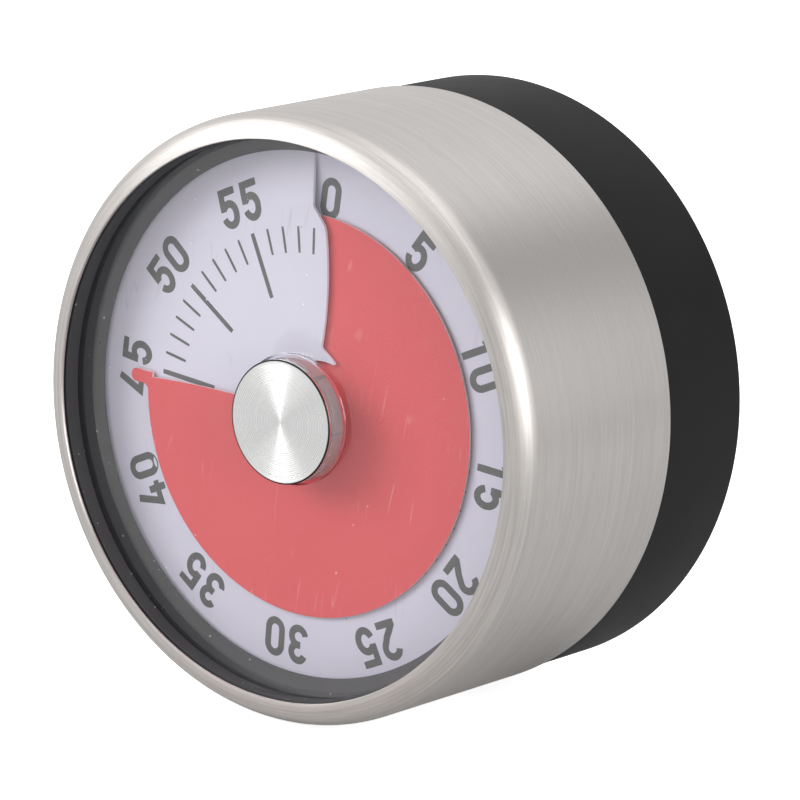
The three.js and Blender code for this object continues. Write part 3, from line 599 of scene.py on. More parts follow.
def place(tree):
    return node(tree, "TexCoord").outputs["Object"]


def bump(tree, height, strength, distance):
    inputs = {"Height": height, "Strength": strength, "Distance": distance}
    return node(tree, "Bump", inputs).outputs["Normal"]


def effect_group(name, inputs, outputs, build):
    """A shader node group with named float or vector inputs and float outputs, built once."""
    if name in bpy.data.node_groups:
        return bpy.data.node_groups[name]
    tree = bpy.data.node_groups.new(name, "ShaderNodeTree")
    for label, kind in inputs.items():
        tree.interface.new_socket(name=label, in_out="INPUT", socket_type=kind)
    for label in outputs:
        tree.interface.new_socket(name=label, in_out="OUTPUT", socket_type="NodeSocketFloat")
    given = tree.nodes.new("NodeGroupInput").outputs
    result = tree.nodes.new("NodeGroupOutput").inputs
    for label, socket in zip(outputs, build(tree, given)):
        tree.links.new(socket, result[label])
    return tree


def use_group(tree, group, **inputs):
    """Places an effect group and returns its outputs."""
    made = node(tree, "Group", node_tree=group)
    for key, value in inputs.items():
        socket = made.inputs[key.replace("_", " ").capitalize()]
        if isinstance(value, bpy.types.NodeSocket):
            tree.links.new(value, socket)
        else:
            socket.default_value = value
    return made.outputs


FLOAT, VECTOR = "NodeSocketFloat", "NodeSocketVector"


def axis_distance(tree, xyz):
    """Distance of a point from the knob's axis."""
    flat = node(tree, "CombineXYZ", {0: xyz[0], 2: xyz[2]}).outputs[0]
    return node(tree, "VectorMath", {0: flat}, operation="LENGTH").outputs["Value"]


def ring_brush():
    """Streaks that run round the knob's axis. The noise is stretched along x and z, and squeezed along
    y plus the radius, so it follows both the case's side and its front lip without a seam."""
    def build(tree, given):
        xyz = node(tree, "SeparateXYZ", {0: given["Vector"]}).outputs
        across = product(tree, total(tree, xyz[1], axis_distance(tree, xyz)), given["Across"])
        along_x = product(tree, xyz[0], given["Along"])
        along_z = product(tree, xyz[2], given["Along"])
        flow = node(tree, "CombineXYZ", {0: along_x, 1: across, 2: along_z}).outputs[0]
        fine = noise(tree, flow, 1.0, 4.0, 0.7)
        broad = noise(tree, flow, 0.23, 2.0, 0.5)
        streak = total(tree, product(tree, fine, 0.65), product(tree, broad, 0.35))
        return [spread(tree, streak, 0.33, 0.67)]
    inputs = {"Vector": VECTOR, "Along": FLOAT, "Across": FLOAT}
    return effect_group("ring_brush", inputs, ["Streak"], build)


def ring_ridges():
    """Rings round the knob's axis: 1 on each ring's crest and 0 in the groove between two rings. Also the
    distance from the axis."""
    def build(tree, given):
        xyz = node(tree, "SeparateXYZ", {0: given["Vector"]}).outputs
        radius = axis_distance(tree, xyz)
        turns = product(tree, maths(tree, "DIVIDE", radius, given["Pitch"]), TURN)
        return [spread(tree, maths(tree, "COSINE", turns), -1.0, 0.0), radius]
    return effect_group("ring_ridges", {"Vector": VECTOR, "Pitch": FLOAT}, ["Ridge", "Radius"], build)


def fine_grain():
    """Fine moulded grain with slow cloudy variation."""
    def build(tree, given):
        fine = noise(tree, given["Vector"], given["Scale"], 5.0, 0.6)
        cloud = noise(tree, given["Vector"], product(tree, given["Scale"], 0.02), 2.0)
        return [fine, spread(tree, cloud, 0.3, 0.7)]
    return effect_group("fine_grain", {"Vector": VECTOR, "Scale": FLOAT}, ["Grain", "Cloud"], build)


def dust():
    """Scattered small specks: the middles of some cells of a cell pattern."""
    def build(tree, given):
        cells = node(tree, "TexVoronoi", {"Vector": given["Vector"], "Scale": given["Scale"]}).outputs
        size = given["Size"]
        speck = spread(tree, cells["Distance"], product(tree, size, 0.5), size, 1.0, 0.0)
        chance = node(tree, "SeparateColor", {0: cells["Color"]}).outputs[0]
        return [product(tree, speck, maths(tree, "LESS_THAN", chance, given["Amount"]))]
    inputs = {"Vector": VECTOR, "Scale": FLOAT, "Size": FLOAT, "Amount": FLOAT}
    return effect_group("dust", inputs, ["Speck"], build)


def scratches():
    """Short fine scratches: thin bands of a noise stretched one way, shown only in patches of another."""
    def build(tree, given):
        patches = noise(tree, given["Vector"], product(tree, given["Scale"], 0.35), 1.0)
        along = {"Vector": given["Vector"], "Rotation": (0, 0.9, 0), "Scale": (1, 1, 0.07)}
        lines = noise(tree, node(tree, "Mapping", along).outputs[0], given["Scale"], 1.0)
        distance = maths(tree, "ABSOLUTE", maths(tree, "SUBTRACT", lines, 0.5))
        thin = spread(tree, distance, 0.0, 0.012, 1.0, 0.0)
        return [product(tree, thin, spread(tree, patches, 0.58, 0.66))]
    return effect_group("scratches", {"Vector": VECTOR, "Scale": FLOAT}, ["Scratch"], build)


def new_finish(name):
    """A node material with its surface shader. Returns the material, its tree and the shader."""
    material = bpy.data.materials.new(name)
    material.use_nodes = True
    tree = material.node_tree
    tree.nodes.clear()
    shader = tree.nodes.new("ShaderNodeBsdfPrincipled")
    node(tree, "OutputMaterial", {"Surface": shader.outputs[0]})
    return material, tree, shader


def by_ray(tree, rays, first, second):
    """Feeds the tree's output with the second shader for the named kinds of ray, else with the first."""
    asked = node(tree, "LightPath").outputs
    share = asked[rays[0]]
    for ray in rays[1:]:
        share = maths(tree, "MAXIMUM", share, asked[ray])
    blend = node(tree, "MixShader", {0: share, 1: first.outputs[0], 2: second.outputs[0]})
    output = next(n for n in tree.nodes if n.type.startswith("OUTPUT"))
    tree.links.new(blend.outputs[0], output.inputs["Surface"])


def scaled(colour_, by):
    return [min(1.0, c * by) for c in colour_]


def radial_tangent(tree):
    """Direction round the Y axis, for brushed and spun metal."""
    return node(tree, "Tangent", direction_type="RADIAL", axis="Y").outputs[0]


def height_of(tree, where):
    """The y coordinate, which runs from the front to the back."""
    return node(tree, "SeparateXYZ", {0: where}).outputs[1]


def feed(tree, shader, **inputs):
    """Sets or links the shader's inputs by name, such as base_color."""
    for key, value in inputs.items():
        label = key.replace("_", " ").title().replace("Ior", "IOR")
        if isinstance(value, bpy.types.NodeSocket):
            tree.links.new(value, shader.inputs[label])
        else:
            shader.inputs[label].default_value = value


# ---- finishes ------------------------------------------------------------------------------------
# A quarter turn sets the stretched highlights across the brushing.
ALONG_RINGS = 0.25
ACRYLIC_IOR = 1.49
PASSED_LIGHT = (0.96, 0.97, 0.97)
DUST = (0.35, 0.35, 0.36)


def brushed_steel(case):
    """Steel brushed round the axis. The rolled lip is coarser, with bright hairs, and its colour is
    darkened along the coarse brushing as a painted dark reflection.
    """
    material, tree, shader = new_finish("brushed_steel")
    where = place(tree)
    streak = use_group(tree, ring_brush(), vector=where, along=190.0, across=9500.0)["Streak"]
    wide = use_group(tree, ring_brush(), vector=where, along=60.0, across=2800.0)["Streak"]
    both = total(tree, product(tree, streak, 0.75), product(tree, wide, 0.25))
    lip_front, lip_back = FRONT + 0.5 * case.lip, FRONT + 1.1 * case.lip
    lip = spread(tree, height_of(tree, where), lip_back, lip_front)
    hairs = use_group(tree, scratches(), vector=where, scale=1100.0)["Scratch"]
    # Painted dark reflection on the lip, following the coarse brushing: the lip's colour is darkened by up
    # to 0.45 towards the lip colour.
    lip_grain_and_reflection_share = product(tree, lip, maths(tree, "SUBTRACT", 0.8, wide))
    tone = mixed(tree, both, case.steel_dark, case.steel_light)
    tone = mixed(tree, spread(tree, lip_grain_and_reflection_share, 0.0, 0.8, 0.0, 0.45), tone, case.lip_dark)
    tone = mixed(tree, product(tree, hairs, 0.4), tone, case.steel_light)
    rough = spread(tree, both, 0.0, 1.0, 0.42, 0.3)
    feed(
        tree, shader,
        base_color=tone,
        metallic=1.0,
        roughness=total(tree, rough, product(tree, lip, 0.1)),
        anisotropic=0.6,
        anisotropic_rotation=ALONG_RINGS,
        tangent=radial_tangent(tree),
        normal=bump(tree, streak, 0.3, 0.006 * MM),
    )
    return material


def moulded(name, base, roughness, grain_scale=2600.0, relief=0.004 * MM, specular=0.5, dusty=0.0):
    """Moulded plastic with fine grain, cloudy gloss and, where wanted, specks of dust."""
    material, tree, shader = new_finish(name)
    where = place(tree)
    grain = use_group(tree, fine_grain(), vector=where, scale=grain_scale)
    lighter = [min(1.0, c * 1.18 + 0.002) for c in base]
    tone = mixed(tree, grain["Cloud"], base, lighter)
    if dusty:
        speck = use_group(tree, dust(), vector=where, scale=900.0, size=0.16, amount=dusty)["Speck"]
        tone = mixed(tree, speck, tone, DUST)
    feed(
        tree, shader,
        base_color=tone,
        roughness=spread(tree, grain["Cloud"], 0.0, 1.0, roughness, roughness + 0.08),
        specular_ior_level=specular,
        normal=bump(tree, grain["Grain"], 0.35, relief),
    )
    return material


def printed_sheet(name, base, roughness, scratch_tone, specular=0.4):
    """Thin printed plastic sheet: near-even colour, faint mottling, a few fine scratches and specks."""
    material, tree, shader = new_finish(name)
    where = place(tree)
    cloud = use_group(tree, fine_grain(), vector=where, scale=1500.0)["Cloud"]
    scratch = use_group(tree, scratches(), vector=where, scale=420.0)["Scratch"]
    speck = use_group(tree, dust(), vector=where, scale=520.0, size=0.11, amount=0.05)["Speck"]
    marks = maths(tree, "MAXIMUM", product(tree, scratch, 0.35), product(tree, speck, 0.7))
    tone = mixed(tree, cloud, base, scaled(base, 0.965))
    feed(
        tree, shader,
        base_color=mixed(tree, marks, tone, scratch_tone),
        roughness=spread(tree, cloud, 0.0, 1.0, roughness, roughness + 0.07),
        specular_ior_level=specular,
    )
    return material


def clear_plastic(name, base, roughness, dusty, clearness=1.0):
    """Clear moulding. Light for the parts behind it passes straight through, because shadow rays and
    diffuse rays meet a transparent shader instead of the refracting one."""
    material, tree, shader = new_finish(name)
    where = place(tree)
    speck = use_group(tree, dust(), vector=where, scale=700.0, size=0.12, amount=dusty)["Speck"]
    cloud = use_group(tree, fine_grain(), vector=where, scale=900.0)["Cloud"]
    haze = spread(tree, cloud, 0.0, 1.0, roughness, roughness + 0.03)
    feed(
        tree, shader,
        base_color=tint(base),
        metallic=0.0,
        transmission_weight=clearness,
        ior=ACRYLIC_IOR,
        roughness=total(tree, haze, product(tree, speck, 0.5)),
    )
    passing = node(tree, "BsdfTransparent", {"Color": tint(PASSED_LIGHT)})
    by_ray(tree, ["Is Shadow Ray", "Is Diffuse Ray"], shader, passing)
    return material


def spun_metal(knob):
    """Spun metal: bright rings with painted shade in the grooves between them, and a painted dark line of
    shade round the front edge.
    """
    material, tree, shader = new_finish("spun_metal")
    where = place(tree)
    streak = use_group(tree, ring_brush(), vector=where, along=160.0, across=9000.0)["Streak"]
    rings = use_group(tree, ring_ridges(), vector=where, pitch=knob.ring_pitch)
    face = front("knob_cap") + 0.1 * MM
    # Painted shade: a dark line round the front edge of the cap, where the shadow gap is.
    outside = spread(tree, rings["Radius"], CAP_R - 0.24 * MM, CAP_R - 0.2 * MM)
    in_front = spread(tree, height_of(tree, where), face, face + 0.06 * MM, 1.0, 0.0)
    metal = mixed(tree, streak, scaled(knob.cap, 0.88), knob.cap)
    # Painted shade: the grooves between the rings are darkened to 0.7 of the cap colour.
    groove_shaded_metal = mixed(tree, rings["Ridge"], scaled(knob.cap, 0.7), metal)
    feed(
        tree, shader,
        base_color=mixed(tree, product(tree, outside, in_front), groove_shaded_metal, knob.rim),
        metallic=1.0,
        roughness=spread(tree, streak, 0.0, 1.0, 0.32, 0.25),
        anisotropic=0.8,
        anisotropic_rotation=ALONG_RINGS,
        tangent=radial_tangent(tree),
    )
    return material


def worked_metal(name, base, roughness, scale=1800.0, streaky=True):
    """Stamped, turned or plated metal with faint tool marks and a little tarnish."""
    material, tree, shader = new_finish(name)
    where = place(tree)
    grain = use_group(tree, fine_grain(), vector=where, scale=scale)
    marks = grain["Grain"]
    if streaky:
        marks = use_group(tree, ring_brush(), vector=where, along=220.0, across=scale * 2)["Streak"]
    feed(
        tree, shader,
        base_color=mixed(tree, grain["Cloud"], base, scaled(base, 0.72)),
        metallic=1.0,
        roughness=spread(tree, marks, 0.0, 1.0, roughness, roughness + 0.14),
        normal=bump(tree, marks, 0.25, 0.01 * MM),
    )
    return material


# ---- operators -----------------------------------------------------------------------------------
class TIMER_OT_sleeve(bpy.types.Operator):
    """Brushed steel sleeve with its rolled front lip"""

    bl_idname = "timer.sleeve"
    bl_label = "Steel Sleeve"

    def execute(self, context):
        case = context.scene.timer_case
        roll_r, roll_y = SLEEVE_R - case.lip, FRONT + case.lip
        tip = roll_y - case.lip
        outside = arc(roll_r, roll_y, case.lip, 0, 90)
        inside = arc(roll_r, roll_y, case.lip - case.sheet, 90, 0)
        hem_round = 0.12 * MM
        hem = eased([
            (roll_r, tip),
            (roll_r - hem_round, tip + case.sheet / 2),
            (roll_r, tip + case.sheet),
        ], [0, hem_round, 0], closed=False)
        chamfer = 0.08 * MM
        bore = SLEEVE_R - case.sheet
        cut = [
            (bore, SEAM - chamfer),
            (bore + chamfer, SEAM),
            (SLEEVE_R - chamfer, SEAM),
            (SLEEVE_R, SEAM - chamfer),
        ]
        section = np.concatenate([outside, hem, inside, cut])
        mesh = mesh_from("steel_sleeve", *turned(section, case.steps))
        steel = brushed_steel(case)
        finish_piece("steel_sleeve", mesh, [steel], "root", ["front_sleeve"])
        return {"FINISHED"}


class TIMER_OT_bezel(bpy.types.Operator):
    """Dark wall between lip and lens, and the sloping ring round the dial"""

    bl_idname = "timer.bezel"
    bl_label = "Bezel Wall and Dial Ring"

    def execute(self, context):
        case = context.scene.timer_case
        wall_front, wall_back = front("bezel_ring"), back("bezel_ring")
        wall_out = reach("bezel_ring")
        land = 0.4 * MM
        flare_back = FRONT + 2.5 * MM
        wall = eased([
            (WINDOW_R, wall_front),
            (WINDOW_R + land, wall_front),
            (wall_out, flare_back),
            (wall_out, wall_back),
            (WINDOW_R, wall_back),
        ], 0.12 * MM, closed=True)
        finish = moulded("dark_moulding", case.wall, 0.55, specular=0.15, dusty=0.12)
        mesh = mesh_from("bezel_wall", *turned(wall, case.steps))
        finish_piece("bezel_wall", mesh, [finish], "root", ["bezel_ring"])
        ring_front, ring_back = front("dial_ring"), back("dial_ring")
        lip = 0.3 * MM
        ring = eased([
            (WINDOW_R, ring_front),
            (RING_R, ring_front),
            (RING_R, ring_back),
            (DIAL_VIEW_R, ring_back),
            (DIAL_VIEW_R, ring_back - lip),
        ], 0.08 * MM, closed=True)
        finish = moulded("grey_moulding", case.cone, 0.5, specular=0.25, dusty=0.16)
        mesh = mesh_from("dial_cone", *turned(ring, case.steps))
        finish_piece("dial_cone", mesh, [finish], "root", ["dial_ring"])
        return {"FINISHED"}


class TIMER_OT_lens(bpy.types.Operator):
    """Clear front disc with the hole for the knob"""

    bl_idname = "timer.lens"
    bl_label = "Front Lens"

    def execute(self, context):
        case = context.scene.timer_case
        near, far = front("lens"), back("lens")
        corners = [(LENS_HOLE_R, near), (RING_R, near), (RING_R, far), (LENS_HOLE_R, far)]
        section = eased(corners, 0.12 * MM, closed=True)
        mesh = mesh_from("front_lens", *turned(section, case.steps))
        finish = clear_plastic("clear_lens", (1.0, 1.0, 1.0), 0.0, 0.035)
        finish_piece("front_lens", mesh, [finish], "root", ["lens"])
        return {"FINISHED"}


# Rows of the dial's grid, closest where the flap's edge bends: first radius, last radius and number.
DIAL_ROWS = [
    (DIAL_HOLE_R, 11.2 * MM, 52),
    (11.2 * MM, 25 * MM, 24),
    (25 * MM, 27.7 * MM, 28),
    (27.7 * MM, DIAL_R, 14),
]
DIAL_COLUMNS = 420
FLAP_SHEAR_FROM = math.radians(300)


class TIMER_OT_dial(bpy.types.Operator):
    """White dial with the slit and the flap that the red disc slides under"""

    bl_idname = "timer.dial"
    bl_label = "White Dial"

    def execute(self, context):
        dial = context.scene.timer_dial
        mesh = mesh_from("white_dial", *sheet_solid(self.surface(), DIAL_THICK))
        mark_walls(mesh)
        face = printed_sheet("white_sheet", dial.white, 0.42, (0.36, 0.33, 0.4))
        rim = moulded("white_cut_edge", scaled(dial.white, 1.12), 0.5)
        finish_piece("white_dial", mesh, [face, rim], "root", ["dial_face"])
        return {"FINISHED"}

    def surface(self):
        """Grid of radius and bearing. The bearing runs evenly from DIAL_TUCK before the 0 mark to a full
        turn, and from FLAP_SHEAR_FROM on it leans more and more towards the flap's edge."""
        r = np.unique(np.concatenate([np.linspace(*row) for row in DIAL_ROWS]))[:, None]
        even = -DIAL_TUCK + (TURN + DIAL_TUCK) * np.linspace(0, 1, DIAL_COLUMNS)[None]
        lean = smooth((even - FLAP_SHEAR_FROM) / (TURN - FLAP_SHEAR_FROM))
        bearing = even + flap_bearing(r) * lean
        return helix_points(r, bearing, dial_depth(r, bearing))


class TIMER_OT_print(bpy.types.Operator):
    """Numerals and minute marks printed on the dial"""

    bl_idname = "timer.print"
    bl_label = "Numerals and Marks"

    def execute(self, context):
        dial = context.scene.timer_dial
        ink = moulded("grey_ink", dial.ink, 0.5, relief=0.001 * MM)
        numbers = []
        for minute in range(0, MINUTES, LONG_EVERY):
            numbers += numeral(str(minute), TURN * minute / MINUTES, dial)
        mesh = mesh_from("dial_numerals", *join_parts(numbers))
        finish_piece("dial_numerals", mesh, [ink], "root")
        marks = []
        for minute in range(1, MINUTES):
            is_long = minute % LONG_EVERY == 0
            start = dial.long_mark_in if is_long else dial.mark_in
            width = dial.long_mark_wide if is_long else dial.mark_wide
            path = densified([line((0, start), (0, dial.mark_out)) / MM], False) * MM
            on_dial = offset_print(TURN * minute / MINUTES, dial.marks_right, dial.marks_up)
            marks.append(ink_solid(*ribbon(path, False, width, STROKE_END), False, on_dial))
        mesh = mesh_from("minute_marks", *join_parts(marks))
        finish_piece("minute_marks", mesh, [ink], "root")
        return {"FINISHED"}


DISC_SWEEP = math.radians(359)
DISC_ROWS = 40
NUB_ROWS = 16
# How far behind the nub the columns start to lean, and where they lean in full.
LEAN_FROM = math.radians(40)
LEAN_FULL = math.radians(10)


class TIMER_OT_time_disc(bpy.types.Operator):
    """Red disc with its pointer nub"""

    bl_idname = "timer.time_disc"
    bl_label = "Red Time Disc"

    def execute(self, context):
        disc = context.scene.timer_disc
        mesh = mesh_from("time_disc", *sheet_solid(*self.surface(disc)))
        mark_walls(mesh)
        face = printed_sheet("red_sheet", disc.red, 0.45, (0.9, 0.5, 0.5), specular=0.25)
        edge = moulded("red_cut_edge", disc.core, 0.5)
        finish_piece("time_disc", mesh, [face, edge], "red_disc", ["red_disc"])
        return {"FINISHED"}

    def columns(self, middle, fan, lead):
        """Bearings of the grid's columns: even round the disc, closer just behind the nub, closest at the
        nub's sides, and one at the leading edge."""
        close_from = middle - 3.2 * fan
        even = np.linspace(lead - DISC_SWEEP, close_from, 380)
        close = np.linspace(close_from, middle - fan, 26)
        nub = middle - fan * np.cos(np.linspace(0, math.pi, 34))
        return np.unique(np.concatenate([even, close, nub, [lead]]))

    def outline(self, off, fan, disc):
        """Outer radius at a bearing off the nub's middle. Over the nub it is a half circle on straight
        sides, tip + sqrt(half^2 - across^2). Behind the nub it falls to the rim along a fillet's quarter
        circle, and ahead of the nub it is the rim."""
        half, tip_r = disc.nub_half, disc.nub_reach - disc.nub_half
        top = tip_r + np.sqrt(np.maximum(half**2 - (off * DISC_R) ** 2, 0))
        fall = np.clip((-off - fan) * DISC_R / disc.nub_fillet, 0, 1)
        foot = DISC_R + disc.nub_fillet * (1 - np.sqrt(np.clip(1 - (1 - fall) ** 2, 0, 1)))
        return np.where(np.abs(off) <= fan + MERGE, top, np.where(off < 0, foot, DISC_R))

    def surface(self, disc):
        """Grid of bearing and radius on the disc's helix, its thickness, and the cells that belong to it.
        Near the nub the columns lean to follow the leading edge inside the rim. Cells ahead of that edge
        are left out, but for the nub's root, and so are cells beyond the rim where there is no nub."""
        middle = REST_BEARING - disc.nub_back
        lead = REST_BEARING + LEAD_BEARING[-1]
        fan = disc.nub_half / DISC_R
        column = self.columns(middle, fan, lead)
        outer = self.outline(column - middle, fan, disc)
        step_r = DISC_R - disc.step
        inner_rows = np.linspace(DISC_HOLE_R, step_r, DISC_ROWS)
        step_rows = step_r + (DISC_R - step_r) * np.array([0.5, 1.0])
        to_outer = np.linspace(0, 1, NUB_ROWS)[None, 1:]
        r = np.concatenate([
            np.tile(np.concatenate([inner_rows, step_rows]), (len(column), 1)),
            DISC_R + (outer[:, None] - DISC_R) * to_outer,
        ], axis=1)
        lean = np.where(r > DISC_R, 0, np.interp(r, LEAD_R, LEAD_BEARING) - LEAD_BEARING[-1])
        near_nub = smooth((column - middle + LEAN_FROM) / (LEAN_FROM - LEAN_FULL))
        bearing = column[:, None] + lean * near_nub[:, None]
        row = np.arange(r.shape[1] - 1)
        inside = row < DISC_ROWS - 1
        beyond = row >= DISC_ROWS + 1
        ahead = column[1:] > lead + MERGE
        flat = np.maximum(outer[1:], outer[:-1]) <= DISC_R + MERGE
        keep = ~(ahead[:, None] & inside[None]) & ~(flat[:, None] & beyond[None])
        return helix_points(r, bearing, disc_depth(bearing)), DISC_THICK, keep


RIB_BEARINGS = np.radians(np.arange(30, 390, 60))
KNOB_STEPS = 160
CAP_STEPS = 144


class TIMER_OT_knob(bpy.types.Operator):
    """Clear ribbed knob and its spun metal cap"""

    bl_idname = "timer.knob"
    bl_label = "Knob and Cap"

    def execute(self, context):
        knob = context.scene.timer_knob
        inner = KNOB_R - KNOB_WALL
        end = at_depth(KNOB_END)
        web = KNOB_TOP + KNOB_WALL
        bore_top = web + 0.6 * MM
        soft = 0.12 * MM
        section = eased([
            (0, KNOB_TOP),
            (KNOB_R, KNOB_TOP),
            (KNOB_R, end),
            (inner, end),
            (inner, web),
            (KNOB_BOSS_R, web),
            (KNOB_BOSS_R, KNOB_BACK),
            (ARBOR_HOLE_R, KNOB_BACK),
            (ARBOR_HOLE_R, bore_top),
            (0, bore_top),
        ], [0, soft, 2.4 * soft, soft, 2 * soft, 2 * soft, soft, soft, soft, 0], closed=False)
        ribs = [self.rib(knob, bearing, inner, web, end) for bearing in RIB_BEARINGS]
        mesh = carve("knob_shell", turned(section, KNOB_STEPS, closed=False), ribs, "UNION")
        finish = clear_plastic("clear_knob", knob.clear, 0.22, 0.05, clearness=0.8)
        finish_piece("knob_shell", mesh, [finish], "knob", ["knob_body"])
        self.add_cap(knob)
        return {"FINISHED"}

    def rib(self, knob, bearing, inner, web, end):
        """A flat wall from the boss to the knob's wall, sunk a little into both and into the web."""
        sunk, short = 0.3 * MM, 0.4 * MM
        centre = np.array(ring_point((KNOB_BOSS_R + inner) / 2, bearing))
        half_size = np.array([(inner - KNOB_BOSS_R) / 2 + sunk, knob.rib / 2])
        corners = np.array([(-1, -1), (1, -1), (1, 1), (-1, 1)]) * half_size
        return prism(centre + corners @ np.stack(outward_axes(bearing)), web - 0.2 * MM, end - short)

    def add_cap(self, knob):
        """Cap with a row of rings on its front, y = front + depth / 2 (1 - cos(2 pi r / pitch))."""
        near, far = front("knob_cap"), back("knob_cap")
        edge = 0.15 * MM
        per_ring = 8
        rings = int((CAP_R - 2 * edge) / knob.ring_pitch)
        r = np.linspace(0, rings * knob.ring_pitch, rings * per_ring + 1)
        y = near + knob.ring_depth / 2 * (1 - np.cos(TURN * r / knob.ring_pitch))
        corners = [(CAP_R - edge / 2, near), (CAP_R, near), (CAP_R, far), (0, far)]
        side = eased(corners, [0, edge, edge / 2, 0], closed=False)
        section = np.concatenate([np.stack([r, y], -1), side])
        mesh = mesh_from("spun_cap", *turned(section, CAP_STEPS, closed=False))
        finish_piece("spun_cap", mesh, [spun_metal(knob)], "knob", ["knob_cap"], crease=50)


class TIMER_OT_housing(bpy.types.Operator):
    """Black rear housing with magnet pockets, screw holes and sound slots"""

    bl_idname = "timer.housing"
    bl_label = "Rear Housing"

    def execute(self, context):
        case = context.scene.timer_case
        edge_front = front("rear_cover")
        floor = -COVER_BACK
        inner = COVER_R - COVER_WALL
        section = eased([
            (0, floor),
            (inner, floor),
            (inner, edge_front),
            (COVER_R, edge_front),
            (COVER_R, 0),
            (0, 0),
        ], [0, 0.3 * MM, 0.1 * MM, 0.25 * MM, 2 * case.edge, 0], closed=False, steps=7)
        mesh = carve("rear_housing", turned(section, case.steps, closed=False), self.openings(floor))
        coarse = {"grain_scale": 3400.0, "relief": 0.012 * MM}
        finish = moulded("black_moulding", case.black, 0.5, specular=0.2, **coarse)
        piece = finish_piece("rear_housing", mesh, [finish], "root", ["rear_cover"])
        soft = piece.modifiers.new("soft_edges", "BEVEL")
        soft.width = 0.12 * MM
        soft.segments = 2
        soft.limit_method = "ANGLE"
        soft.angle_limit = math.radians(50)
        return {"FINISHED"}

    def openings(self, floor):
        """Solids to cut: a pocket for each magnet, a stepped hole for each screw, and straight sound slots
        on the screws' bearings. Each solid reaches past the back."""
        tools = []
        past = 1 * MM
        turn = np.linspace(0, TURN, 64, endpoint=False)

        def hole(centre, radius, bottom):
            tools.append(prism(np.array(centre) + np.stack(ring_point(radius, turn), -1), bottom, past))

        for bearing in MAGNET_BEARINGS:
            hole(ring_point(MAGNET_RING_R, bearing), MAGNET_R + SHEET_GAP, floor + POCKET_FLOOR)
        for bearing in SCREW_BEARINGS:
            screw_place = ring_point(SCREW_RING_R, bearing)
            hole(screw_place, SCREW_POCKET_R, floor + SCREW_SEAT)
            hole(screw_place, SCREW_HOLE_R, floor - past)
            for slot_r in SOUND_SLOT_RADII:
                middle = ring_point(slot_r * math.cos(SOUND_SLOT_HALF / slot_r), bearing)
                outline = stadium(2 * SOUND_SLOT_HALF + SOUND_SLOT_WIDE, SOUND_SLOT_WIDE, middle, bearing)
                tools.append(prism(outline, floor - past, past))
        return tools


FITTING_STEPS = 96


class TIMER_OT_fittings(bpy.types.Operator):
    """Magnets and case screws in the back"""

    bl_idname = "timer.fittings"
    bl_label = "Magnets and Screws"

    def execute(self, context):
        nickel = worked_metal("magnet_nickel", (0.56, 0.55, 0.53), 0.26, streaky=False)
        zinc = worked_metal("screw_zinc", (0.6, 0.6, 0.58), 0.32, streaky=False)
        for number, bearing in enumerate(MAGNET_BEARINGS, 1):
            near = front(f"magnet_{number}")
            corners = [(0, near), (MAGNET_R, near), (MAGNET_R, 0), (0, 0)]
            section = eased(corners, [0, 0.2 * MM, 0.45 * MM, 0], closed=False)
            part = turned(section, FITTING_STEPS, closed=False, centre=ring_point(MAGNET_RING_R, bearing))
            mesh = mesh_from(f"magnet_disc_{number}", *part)
            finish_piece(mesh.name, mesh, [nickel], "root", [f"magnet_{number}"])
        for number, bearing in enumerate(SCREW_BEARINGS, 1):
            stands_for = f"case_screw_{number}"
            part = self.screw(ring_point(SCREW_RING_R, bearing), back(stands_for), front(stands_for))
            mesh = mesh_from(f"cover_screw_{number}", *part)
            finish_piece(mesh.name, mesh, [zinc], "root", [stands_for])
        return {"FINISHED"}

    def screw(self, centre, face, tip):
        """Pan-head screw. Its head is a dome y = face - drop (r / R)^4 with a cross sunk into it: inside
        either arm of the cross the surface goes in by the recess depth, with sloping sides."""
        head_r, shank_r, head_deep, rows = 2.2 * MM, 1.0 * MM, 1.0 * MM, 34
        drop, recess = 0.25 * MM, 0.8 * MM
        arm_long, arm_half, side_slope = 1.35 * MM, 0.26 * MM, 0.16 * MM
        r = np.linspace(0, head_r, rows)[:, None]
        x, z = ring_point(r, np.linspace(0, TURN, FITTING_STEPS, endpoint=False)[None])

        def past_arm(along, aside):
            return np.maximum(np.abs(along) - arm_long, np.abs(aside) - arm_half)

        outside = np.minimum(past_arm(x, z), past_arm(z, x))
        sunk = smooth(0.5 - outside / side_slope)
        head = np.stack([x, face - drop * (r / head_r) ** 4 - recess * sunk, z], -1)
        under = [(head_r, face - head_deep), (shank_r, face - head_deep), (shank_r, tip), (0, tip)]
        rest, _ = turned(under, FITTING_STEPS, closed=False)
        points = np.concatenate([head, rest]) + np.array([centre[0], 0, centre[1]])
        return points, grid_faces(len(points), FITTING_STEPS, False, True)


class TIMER_OT_movement(bpy.types.Operator):
    """Finishes of the movement's own nodes"""

    bl_idname = "timer.movement"
    bl_label = "Movement Finishes"

    def execute(self, context):
        finishes = {
            "movement_brass": worked_metal("stamped_brass", (0.72, 0.52, 0.2), 0.3),
            "movement_steel": worked_metal("turned_steel", (0.5, 0.5, 0.51), 0.34),
            "gong_steel": worked_metal("plated_gong", (0.66, 0.65, 0.62), 0.2, streaky=False),
            "black_moulding": moulded("housing_moulding", (0.02, 0.02, 0.021), 0.5),
        }
        slots = {part["node"]: part["material_slot"] for part in frame["record"]["subparts"]}
        for name, o in frame["nodes"].items():
            if slots[name] in finishes:
                o.data.materials.clear()
                o.data.materials.append(finishes[slots[name]])
        return {"FINISHED"}


# Place and side of each soft box.
SOFT_BOXES = {
    "key": ((-0.65, -0.6, 0.28), 0.45),
    "top": ((0.05, -0.1, 0.85), 0.8),
    "side": ((0.75, -0.25, 0.3), 0.5),
    "front": ((-0.3, -0.9, 0.34), 0.35),
}
LIGHTS_AIM = (0, -0.025, 0)
CAMERA_AIM = (0.0028, -0.02497, 0.0003)
SENSOR = 36
WHITE = (1, 1, 1, 1)


